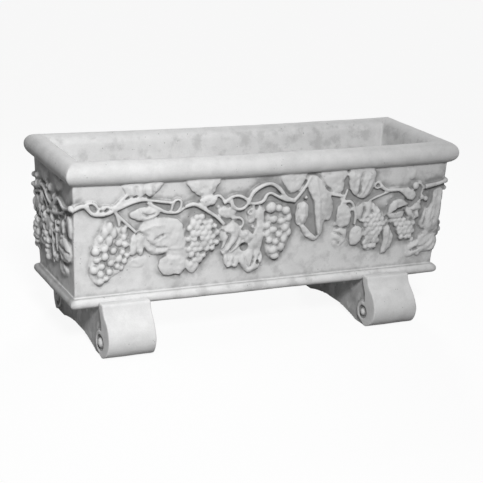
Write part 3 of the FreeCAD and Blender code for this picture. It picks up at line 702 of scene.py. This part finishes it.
def relief(wall, leaves, strands, berries, clusters, cushions, rough, chance):
    pieces = [leaf(wall, *drawing) for drawing in leaves.values()]
    for crown, outline in cushions + [(CUSHION_CROWN, outline) for radius, outline in clusters]:
        pieces.append(leaf(wall, crown, CUSHION_EDGE, outline))
    pieces += [strand(wall, *drawing) for drawing in strands]
    fresh()
    bpy.ops.mesh.primitive_ico_sphere_add(subdivisions=GRAPE_ROUNDNESS, radius=MILLIMETRE)
    pattern = bpy.context.object
    for drawing in berries:
        pieces.append(berry(wall, pattern, *drawing))
    for radius, outline in clusters:
        for grape in cluster_grapes(radius, outline, chance):
            pieces.append(berry(wall, pattern, *grape))
    for strewing in rough:
        for lump in scattered(*strewing, chance):
            pieces.append(berry(wall, pattern, *lump))
    bpy.data.objects.remove(pattern)
    return pieces


def seen_from(wall, points):
    """The points in a wall's own frame."""
    back = np.array(wall.matrix.inverted())
    return points @ back[:3, :3].T + back[:3, 3]


def hollows(wall, points):
    """How far each point of a wall lies under the mean level round it, in millimetres. 0 off the wall."""
    along, up, out = (seen_from(wall, points) / MILLIMETRE).T
    on_wall = (up > 0) & (up < HOLLOW_TOP) & (out > LOWEST_GROUND) & (out < HIGHEST_RELIEF)
    far = np.abs(along[on_wall]).max()
    columns = ((along[on_wall] + far) / HOLLOW_CELL).astype(int)
    rows = (up[on_wall] / HOLLOW_CELL).astype(int)
    count = np.zeros((rows.max() + 1, columns.max() + 1))
    level = np.zeros_like(count)
    np.add.at(count, (rows, columns), 1)
    np.add.at(level, (rows, columns), out[on_wall])
    filled = (count > 0).astype(float)
    level = level / np.maximum(count, 1)
    reach = int(2 * HOLLOW_REACH / HOLLOW_CELL)
    steps = np.arange(-reach, reach + 1)
    weights = np.exp(-(steps * HOLLOW_CELL / HOLLOW_REACH) ** 2)
    for axis in (0, 1):
        level = np.apply_along_axis(np.convolve, axis, level, weights, "same")
        filled = np.apply_along_axis(np.convolve, axis, filled, weights, "same")
    mean_level = level / np.maximum(filled, LEAST_WEIGHT)
    depth = np.zeros(len(points))
    depth[on_wall] = np.maximum(0, mean_level[rows, columns] - out[on_wall])
    return depth


def sink_pockets(points, wall, pockets):
    """Press the pockets into a wall."""
    local = seen_from(wall, points)
    out = np.array(wall.matrix.to_3x3() @ Vector((0, 0, 1)))
    near = (local[:, 2] > -POCKET_BEHIND) & (local[:, 2] < POCKET_BEFORE)
    for along, up, radius, depth in pockets:
        centre = wall.flat(along, up)
        away = np.hypot(local[:, 0] - centre.x, local[:, 1] - centre.y) / (radius * MILLIMETRE)
        push = np.where(near, depth * MILLIMETRE * np.exp(-away ** POCKET_EDGE), 0)
        points = points - push[:, None] * out
    return points


# Finishing a casting

def cast(piece, grain, swell):
    """Run the parts together as one pour, soften the edges and leave the faces slightly uneven."""
    modified(piece, "REMESH", mode="VOXEL", voxel_size=grain)
    modified(piece, "SMOOTH", factor=SOFTEN, iterations=SOFTEN_ROUNDS)
    for size, strength in ((BROAD_SWELL_SIZE, swell), (FINE_SWELL_SIZE, FINE_SWELL_SHARE * swell)):
        texture = bpy.data.textures.new("uneven", "CLOUDS")
        texture.noise_scale = size
        modified(piece, "DISPLACE", texture=texture, texture_coords="LOCAL", strength=strength,
                 mid_level=0.5)


def thinned(piece, most):
    piece.data.calc_loop_triangles()
    count = len(piece.data.loop_triangles)
    if count > most:
        modified(piece, "DECIMATE", decimate_type="COLLAPSE", ratio=most / count,
                 use_collapse_triangulate=True)


def hemisphere(count):
    """Directions spread over the half space above Z, thicker towards the pole."""
    turn = math.pi * (3 - math.sqrt(5))
    directions = []
    for index in range(count):
        rise = math.sqrt(1 - (index + 0.5) / count)
        reach = math.sqrt(1 - rise ** 2)
        directions.append(Vector((reach * math.cos(turn * index), reach * math.sin(turn * index), rise)))
    return directions


def mark_shade_and_grime(piece, added, stain):
    """Store on each point how much of its outlook is taken away, at the relief's scale and at a crevice's,
    to be painted into the colour as shade and grime. added is painted shade and dirt that the rays don't
    find, stain how stained the outside is."""
    mesh = piece.data
    tree = BVHTree.FromObject(piece, bpy.context.evaluated_depsgraph_get())
    directions = hemisphere(OCCLUSION_RAYS)
    shade_and_grime = np.zeros(len(mesh.vertices))
    crevice = np.zeros(len(mesh.vertices))
    for vertex in mesh.vertices:
        frame_turn = vertex.normal.to_track_quat("Z", "Y")
        start = vertex.co + vertex.normal * RAY_START_GAP
        for direction in directions:
            distance = tree.ray_cast(start, frame_turn @ direction, OCCLUSION_REACH)[3]
            if distance is not None:
                shade_and_grime[vertex.index] += (1 - distance / OCCLUSION_REACH) / OCCLUSION_RAYS
                crevice[vertex.index] += max(0, 1 - distance / CREVICE_REACH) / OCCLUSION_RAYS
    points = points_of(mesh)
    from_outside = np.minimum(HALF_LENGTH - np.abs(points[:, 0]), HALF_WIDTH - np.abs(points[:, 1]))
    on_rim = points[:, 2] > RIM_BOTTOM
    # Inside the trough, and beneath it.
    indoors = from_outside > INDOORS_FROM
    stained = np.where(indoors, 1, np.where(on_rim, RIM_STAIN, stain))
    # The painted shade from the occlusion is weakened just under the rim and inside the trough.
    under_rim = (points[:, 2] > RIM_BOTTOM - UNDER_RIM) & ~on_rim
    shade_and_grime = np.where(under_rim, UNDER_RIM_SHARE * shade_and_grime, shade_and_grime)
    shade_and_grime = np.where(indoors, INDOOR_SHADE_SHARE * shade_and_grime, shade_and_grime) + added
    crevice = np.where(indoors, INDOOR_CREVICE * crevice, crevice)
    for name, shares in (("shade_and_grime", shade_and_grime), ("crevice", crevice), ("stained", stained)):
        mesh.attributes.new(name, "FLOAT", "POINT").data.foreach_set("value", shares)


def finished(piece, body, nodes, material):
    choose(piece)
    bpy.ops.object.shade_smooth()
    piece.data.materials.clear()
    piece.data.materials.append(material)
    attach(piece, body)
    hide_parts(*nodes)


def make_trough(material):
    chance = random.Random(RELIEF_SEED)
    turns = (0, math.pi, -math.pi / 2, math.pi / 2)
    long_walls = [Wall(HALF_LENGTH, HALF_WIDTH, turn, DRAWN_LONG_HALF) for turn in turns[:2]]
    end_walls = [Wall(HALF_WIDTH, HALF_LENGTH, turn, DRAWN_END_HALF) for turn in turns[2:]]
    pieces = [trough_body()]
    for wall in long_walls:
        pieces += relief(wall, LONG_LEAVES, LONG_STRANDS, LONG_BERRIES, LONG_CLUSTERS, LONG_CUSHIONS,
                         LONG_ROUGH, chance)
    for wall in end_walls:
        pieces += relief(wall, END_LEAVES, END_STRANDS, END_BERRIES, END_CLUSTERS, [], END_ROUGH, chance)
    trough = joined(pieces, "trough_casting")
    cast(trough, TROUGH_GRAIN, TROUGH_SWELL)
    points = points_of(trough.data)
    for wall in long_walls:
        points = sink_pockets(points, wall, LONG_POCKETS)
    height_share = np.clip((points[:, 2] - RIM_BOTTOM) / RIM_HEIGHT + 1, 0, 1)
    back_share = np.clip((points[:, 1] + HALF_WIDTH) / (2 * HALF_WIDTH), 0, 1)
    sag = FRONT_SAG + (BACK_SAG - FRONT_SAG) * back_share
    points[:, 2] -= sag * height_share * (1 - np.clip(points[:, 0] / HALF_LENGTH, -1, 1) ** 2)
    points[:, 2] = np.maximum(points[:, 2], SEAT)
    move_points(trough.data, points)
    thinned(trough, MOST_TRIANGLES)
    points = points_of(trough.data)
    # Painted shade and dirt: the depth of the low ground between the motifs, and a flat share over the end
    # bands.
    shade_and_dirt = np.zeros(len(points))
    # The darkening and the stains fade out towards the left part of each long wall, as seen from outside.
    along = np.where(points[:, 1] < 0, 1, -1) * points[:, 0] / MILLIMETRE
    rightward = np.clip((along - FAINTEST_UNTIL) / (FULLEST_FROM - FAINTEST_UNTIL), 0, 1)
    share = LEFT_DARK_SHARE + (1 - LEFT_DARK_SHARE) * rightward
    for wall in long_walls:
        shade_and_dirt += share * np.minimum(hollows(wall, points) / HOLLOW_FULL, 1)
    for wall in end_walls:
        shade_and_dirt += np.minimum(hollows(wall, points) / HOLLOW_FULL, 1)
    on_end_band = (points[:, 2] < BAND_TOP) & (np.abs(points[:, 0]) > HALF_LENGTH - WALL_FOOT_INSET)
    shade_and_dirt += BAND_SHADE_AND_DIRT * on_end_band
    on_long_wall = HALF_WIDTH - np.abs(points[:, 1]) < WALL_FOOT_INSET + MILLIMETRE
    stain = np.where(on_long_wall, LEFT_STAIN_SHARE + (1 - LEFT_STAIN_SHARE) * rightward, 1)
    mark_shade_and_grime(trough, HOLLOW_SHADE_SHARE * np.minimum(shade_and_dirt, 1), stain)
    walls = ("front", "back", "left_end", "right_end")
    nodes = [f"{wall}_{kind}" for wall in walls for kind in ("vine", "leaves", "grapes")]
    finished(trough, "trough", ["trough"] + nodes, material)


# Feet

def bend(start, end, centre_height, turn, count=BEND_STEPS):
    """Points of an arc from start towards end, its centre at a given height. turn is 1 anticlockwise."""
    balance = (end[0] ** 2 + end[1] ** 2 - start[0] ** 2 - start[1] ** 2) / 2
    along = (balance - centre_height * (end[1] - start[1])) / (end[0] - start[0])
    centre = np.array([along, centre_height])
    radius = math.hypot(*(np.array(start) - centre))
    first = math.atan2(start[1] - centre[1], start[0] - centre[0])
    last = math.atan2(end[1] - centre[1], end[0] - centre[0])
    if (last - first) * turn < 0:
        last += turn * 2 * math.pi
    return [(centre[0] + radius * math.cos(angle), centre[1] + radius * math.sin(angle))
            for angle in np.linspace(first, last, count, endpoint=False)]


BAND_HALF_WIDTH = HALF_WIDTH - WALL_FOOT_INSET + BAND_HEIGHT / 2
LIP_INSIDE = BAND_HALF_WIDTH + SEAT_GAP
LIP_OUTSIDE = LIP_INSIDE + LIP_THICKNESS
LIP_TOP = SEAT + LIP_HEIGHT
SCROLL_FRONT = LIP_OUTSIDE + SCROLL_REACH
NECK = (LIP_OUTSIDE + NECK_REACH, NECK_HEIGHT)
SOLE_OUTSIDE = SCROLL_FRONT - SOLE_INSET
SOLE_INSIDE = SOLE_OUTSIDE - SOLE_DEPTH
EYE = SCROLL_FRONT - EYE_INSET


def foot_half():
    """Half of the foot's side outline: from under the arch, round the scroll, to the seat."""
    scroll_front = (SCROLL_FRONT, SCROLL_HEIGHT)
    lip_start = (LIP_OUTSIDE, LIP_TOP - LIP_ROUND)
    lip_end = (LIP_OUTSIDE - LIP_ROUND, LIP_TOP)
    arch_radius = (SOLE_INSIDE ** 2 + ARCH_HEIGHT ** 2) / (2 * ARCH_HEIGHT)
    arch_share = math.degrees(math.asin(SOLE_INSIDE / arch_radius))
    return (arc((0, ARCH_HEIGHT - arch_radius), arch_radius, ARCH_START, 90 - arch_share, ARCH_STEPS)
            + bend((SOLE_OUTSIDE, 0), scroll_front, SCROLL_HEIGHT, 1)
            + bend(scroll_front, NECK, SCROLL_HEIGHT, 1)
            + bend(NECK, lip_start, LIP_TOP, -1)
            + bend(lip_start, lip_end, LIP_TOP - LIP_ROUND, 1, LIP_STEPS)
            + [lip_end, (LIP_INSIDE, LIP_TOP), (LIP_INSIDE, SEAT)])


def scroll_loop(eye_radius):
    """The scroll alone: the front strip from the lip down, rolled round the eye."""
    strip_turn = (NECK[0] - STRIP_WIDTH, NECK_HEIGHT - STRIP_WIDTH / 2)
    roll_radius = eye_radius + ROLL_RINGS * RING_WIDTH
    roll = arc((EYE, EYE_HEIGHT), roll_radius, ROLL_START, ROLL_END, ROLL_STEPS)
    front = [point for point in foot_half() if point[0] > EYE - roll_radius / 2]
    return front + [strip_turn] + [point for point in roll if point[1] > 0]


def plate(outline, half_thickness):
    """A flat plate across X with the given side outline."""
    fresh()
    bpy.ops.mesh.primitive_circle_add(vertices=len(outline), radius=1, fill_type="NGON")
    piece = bpy.context.object
    move_points(piece.data, [(-half_thickness, along, up) for along, up in outline])
    edit_all()
    thickened((2 * half_thickness, 0, 0))
    return piece


def disc(along, radius, half_thickness):
    fresh()
    bpy.ops.mesh.primitive_cylinder_add(vertices=DISC_SIDES, radius=radius, depth=2 * half_thickness,
                                        location=(0, along, EYE_HEIGHT), rotation=(0, math.pi / 2, 0))
    return bpy.context.object


def make_foot(name, material):
    low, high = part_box(name)
    centre = (low.x + high.x) / 2
    half_width = (high.x - low.x) / 2 - EYE_PROUD
    half = foot_half()
    pieces = [plate(half + [(-along, up) for along, up in reversed(half)], half_width - PANEL_DEPTH)]
    for side in (-1, 1):
        scroll = plate([(side * along, up) for along, up in scroll_loop(EYE_RADIUS[name])], half_width)
        drilled(scroll, disc(side * EYE, EYE_RADIUS[name] + RING_WIDTH, 2 * half_width))
        pieces.append(scroll)
        for face in (-1, 1):
            fresh()
            place = (face * (half_width + EYE_PROUD - EYE_DOME), side * EYE, EYE_HEIGHT)
            bpy.ops.mesh.primitive_uv_sphere_add(segments=EYE_SEGMENTS, ring_count=EYE_RINGS, radius=1,
                                                 location=place,
                                                 scale=(EYE_DOME, EYE_RADIUS[name], EYE_RADIUS[name]))
            pieces.append(bpy.context.object)
    foot = joined(pieces, f"{name}_casting")
    cast(foot, FOOT_GRAIN, FOOT_SWELL)
    points = points_of(foot.data)
    drop_share = np.clip((LIP_TOP - points[:, 2]) / (LIP_TOP - SCROLL_HEIGHT), 0, 1)
    flare = FLARE[name] * drop_share ** FLARE_POWER / half_width
    points[:, 0] *= 1 + np.where(points[:, 0] > 0, flare, 0)
    front_share = np.clip((np.abs(points[:, 1]) - SCROLL_FRONT + 2 * STRIP_WIDTH) / (2 * STRIP_WIDTH), 0, 1)
    points[:, 0] *= 1 + STRIP_TILT * (1 - 2 * front_share) / half_width
    points[:, 0] += centre
    points[:, 2] = np.clip(points[:, 2], 0, LIP_TOP)
    on_seat = np.abs(points[:, 1]) < LIP_INSIDE - SEAT_GAP
    points[on_seat, 2] = np.minimum(points[on_seat, 2], SEAT)
    move_points(foot.data, points)
    thinned(foot, FOOT_TRIANGLES)
    points = points_of(foot.data)
    # The recessed side panels take extra painted shade and dirt.
    in_panel = np.abs(points[:, 0] - centre) < half_width - PANEL_DEPTH / 2
    in_panel &= np.abs(points[:, 1]) < EYE
    in_panel &= np.array([abs(vertex.normal.x) > PANEL_FACING for vertex in foot.data.vertices])
    mark_shade_and_grime(foot, PANEL_SHADE_SHARE * in_panel, FOOT_STAIN)
    finished(foot, "feet", [name], material)


# Materials

class Field:
    """A shader socket that takes part in sums."""

    def __init__(self, tree, socket):
        self.tree = tree
        self.socket = socket

    def node(self, kind, settings=None, output=0, **links):
        """Add a node with these settings and links, and give one of its outputs."""
        made = self.tree.nodes.new(kind)
        for name, setting in (settings or {}).items():
            setattr(made, name, setting)
        for name, link in links.items():
            key = int(name[1:]) if name[1:].isdigit() else name.replace("_", " ")
            target = made.inputs[key]
            if isinstance(link, Field):
                self.tree.links.new(link.socket, target)
            else:
                target.default_value = link
        return Field(self.tree, made.outputs[output])

    def sum(self, operation, first, second):
        return self.node("ShaderNodeMath", {"operation": operation}, i0=first, i1=second)

    def __add__(self, other):
        return self.sum("ADD", self, other)

    def __radd__(self, other):
        return self.sum("ADD", other, self)

    def __sub__(self, other):
        return self.sum("SUBTRACT", self, other)

    def __rsub__(self, other):
        return self.sum("SUBTRACT", other, self)

    def __mul__(self, other):
        return self.sum("MULTIPLY", self, other)

    def __rmul__(self, other):
        return self.sum("MULTIPLY", other, self)

    def between(self, low, high):
        """0 below low, 1 above high, and a soft step between."""
        settings = {"interpolation_type": "SMOOTHSTEP"}
        return self.node("ShaderNodeMapRange", settings, Value=self, From_Min=low, From_Max=high)

    def noise(self, scale, detail=3, roughness=0.5):
        """Cloudy values about 0.5 over the object's own coordinates, which this field holds."""
        return self.node("ShaderNodeTexNoise", Vector=self, Scale=scale, Detail=detail, Roughness=roughness)


def new_material(name):
    """A material, its main shader and the object's own coordinates."""
    material = bpy.data.materials.new(name)
    material.use_nodes = True
    tree = material.node_tree
    shader = tree.nodes["Principled BSDF"]
    coordinates = Field(tree, tree.nodes.new("ShaderNodeTexCoord").outputs["Object"])
    return material, shader, coordinates


# Clouds of the concrete and of the rust: scale, detail and roughness.
BLOTCH = (7, 4, 0.55)
MOTTLE = (46, 5, 0.65)
STAIN = (38, 5, 0.6)
GRAIN = (420, 3, 0.7)
PIT_PLACES = (60, 2)
RUST = (60, 4, 0.6)
CLOUD_MEAN = 0.5

# Where a cloud or a mark begins to tell, and where it tells in full.
STAIN_RANGE = (0.46, 0.66)
PIT_PLACE_RANGE = (0.60, 0.68)
PIT_EDGE = (0.10, 0.22)
SHADE_GRIME_RANGE = (0.02, 0.22)
LINE_RANGE = (0.02, 0.30)
RUST_RANGE = (0.45, 0.65)

# Concrete: its tone, how far each cloud moves it, and how far each mark darkens it; the occlusion and
# crevice marks are painted shade and grime.
CONCRETE_TONE = 0.71
BLOTCH_TONE = 0.16
MOTTLE_TONE = 0.20
GRAIN_TONE = 0.12
SHADE_GRIME_MOTTLE = 0.16
SHADE_GRIME_DARK = 0.54
LINE_DARK = 0.38
STAIN_DARK = 0.20
PIT_DARK = 0.45
PIT_SCALE = 150.0
CONCRETE_ROUGH = 0.92
CONCRETE_SHINE = 0.25
MOTTLE_BUMP = 0.5
GRAIN_BUMP = 0.35
PIT_BUMP = 0.6
BUMP_STRENGTH = 0.5
BUMP_DEPTH = 0.0012

# Steel: tone and roughness of the bare rod, and what rust takes from the one and adds to the other.
STEEL_TONE = 0.34
RUST_DARK = 0.18
STEEL_ROUGH = 0.35
RUST_ROUGH = 0.4


def concrete():
    material, shader, place = new_material("weathered concrete")
    links = material.node_tree.links
    shade_and_grime, crevice, stained = (place.node("ShaderNodeAttribute", {"attribute_name": name}, output="Fac")
                                 for name in ("shade_and_grime", "crevice", "stained"))
    blotch = place.noise(*BLOTCH)
    mottle = place.noise(*MOTTLE)
    grain = place.noise(*GRAIN)
    stain = place.noise(*STAIN).between(*STAIN_RANGE)
    spots = place.node("ShaderNodeTexVoronoi", Vector=place, Scale=PIT_SCALE, output="Distance")
    pit = (1 - spots.between(*PIT_EDGE)) * place.noise(*PIT_PLACES).between(*PIT_PLACE_RANGE)
    tone = (CONCRETE_TONE + (blotch - CLOUD_MEAN) * BLOTCH_TONE + (mottle - CLOUD_MEAN) * MOTTLE_TONE
            + (grain - CLOUD_MEAN) * GRAIN_TONE)
    # Painted shade and grime where the surface is occluded.
    shade_grime_mask = (shade_and_grime + (mottle - CLOUD_MEAN) * SHADE_GRIME_MOTTLE).between(*SHADE_GRIME_RANGE)
    # Painted shade and grime in the crevices, from the short-reach occlusion.
    line = crevice.between(*LINE_RANGE)
    shade_and_dirt = (1 - SHADE_GRIME_DARK * shade_grime_mask) * (1 - LINE_DARK * line)
    colour = tone * shade_and_dirt * (1 - STAIN_DARK * stain * stained) * (1 - PIT_DARK * pit)
    links.new(colour.socket, shader.inputs["Base Color"])
    shader.inputs["Roughness"].default_value = CONCRETE_ROUGH
    shader.inputs["Specular IOR Level"].default_value = CONCRETE_SHINE
    surface = mottle * MOTTLE_BUMP + grain * GRAIN_BUMP - pit * PIT_BUMP
    bump = place.node("ShaderNodeBump", Height=surface, Strength=BUMP_STRENGTH, Distance=BUMP_DEPTH)
    links.new(bump.socket, shader.inputs["Normal"])
    return material


def rod_steel():
    material, shader, place = new_material("rod steel")
    links = material.node_tree.links
    rust = place.noise(*RUST).between(*RUST_RANGE)
    links.new((STEEL_TONE - RUST_DARK * rust).socket, shader.inputs["Base Color"])
    links.new((STEEL_ROUGH + RUST_ROUGH * rust).socket, shader.inputs["Roughness"])
    shader.inputs["Metallic"].default_value = 1
    return material


def plain_floor():
    """White to the camera and in reflections, apart from a soft share of the planter's shadow."""
    material, shader, place = new_material("pale floor")
    tree = material.node_tree
    shader.inputs["Roughness"].default_value = FLOOR_ROUGH
    white = place.node("ShaderNodeEmission", Strength=1.0)
    straight, mirrored, through = (place.node("ShaderNodeLightPath", output=f"Is {kind} Ray")
                                   for kind in ("Camera", "Glossy", "Transmission"))
    seen = straight + mirrored + through
    lit = Field(tree, shader.outputs[0])
    tree.links.new((FLOOR_BOUNCE + (FLOOR_TONE - FLOOR_BOUNCE) * seen).socket, shader.inputs["Base Color"])
    mixed = place.node("ShaderNodeMixShader", i0=seen * FLOOR_WHITE_SHARE, i1=lit, i2=white)
    tree.links.new(mixed.socket, tree.nodes["Material Output"].inputs["Surface"])
    return material


# Stage

CAMERA_PLACE = Vector((-1.0153, -2.1142, 0.8693))
CAMERA_YAW = 0.44816
CAMERA_PITCH = -0.29972
CAMERA_ROLL = 0.05223
SENSOR_WIDTH = 36
FOCAL_LENGTH = 98.02
FLOOR_SIZE = 60
FLOOR_WHITE_SHARE = 0.92
FLOOR_TONE = 0.95
FLOOR_ROUGH = 0.9
FLOOR_BOUNCE = 0.25
KEY_PLACE = Vector((-0.88, -2.49, 2.10))
KEY_TARGET = Vector((-0.34, -0.15, 0.10))
LIGHT_SIZE = 0.6
LIGHT_SPREAD = math.radians(52)
KEY_POWER = 8.5
BACK_PLACE = Vector((1.30, 2.50, 1.80))
BACK_TARGET = Vector((0, 0, 0.15))
BACK_POWER = 4
FILL_STRENGTH = 0.145


def make_camera():
    forward = math.cos(CAMERA_PITCH)
    ahead = Vector((math.sin(CAMERA_YAW) * forward, math.cos(CAMERA_YAW) * forward, math.sin(CAMERA_PITCH)))
    level = Vector((math.cos(CAMERA_YAW), -math.sin(CAMERA_YAW), 0))
    above = level.cross(ahead)
    right = level * math.cos(CAMERA_ROLL) + above * math.sin(CAMERA_ROLL)
    up = above * math.cos(CAMERA_ROLL) - level * math.sin(CAMERA_ROLL)
    data = bpy.data.cameras.new("camera")
    data.sensor_width = SENSOR_WIDTH
    data.lens = FOCAL_LENGTH
    camera = bpy.data.objects.new("camera", data)
    turn = Matrix((right, up, -ahead)).transposed().to_4x4()
    camera.matrix_world = Matrix.Translation(CAMERA_PLACE) @ turn
    bpy.context.collection.objects.link(camera)
    bpy.context.scene.camera = camera


def soft_box(name, place, target, power):
    light = bpy.data.lights.new(name, "AREA")
    light.size = LIGHT_SIZE
    light.spread = LIGHT_SPREAD
    light.energy = power
    lamp = bpy.data.objects.new(name, light)
    lamp.location = place
    lamp.rotation_euler = (target - place).to_track_quat("-Z", "Y").to_euler()
    bpy.context.collection.objects.link(lamp)


def make_stage():
    fresh()
    bpy.ops.mesh.primitive_plane_add(size=FLOOR_SIZE)
    floor = bpy.context.object
    floor.name = "floor"
    floor.data.materials.append(plain_floor())
    soft_box("key", KEY_PLACE, KEY_TARGET, KEY_POWER)
    soft_box("back", BACK_PLACE, BACK_TARGET, BACK_POWER)
    world = bpy.data.worlds.new("studio")
    bpy.context.scene.world = world
    world.use_nodes = True
    world.node_tree.nodes["Background"].inputs["Color"].default_value = (1, 1, 1, 1)
    world.node_tree.nodes["Background"].inputs["Strength"].default_value = FILL_STRENGTH
    bpy.context.scene.view_settings.view_transform = "Standard"


def dress_rods():
    steel = rod_steel()
    for name in ("rim_rods", "floor_rods", "corner_rods", "left_foot_rod", "right_foot_rod"):
        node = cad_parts[name]
        node.data.materials.clear()
        node.data.materials.append(steel)


CONCRETE = concrete()
make_trough(CONCRETE)
for foot_name in ("left_foot", "right_foot"):
    make_foot(foot_name, CONCRETE)
dress_rods()
make_stage()
make_camera()
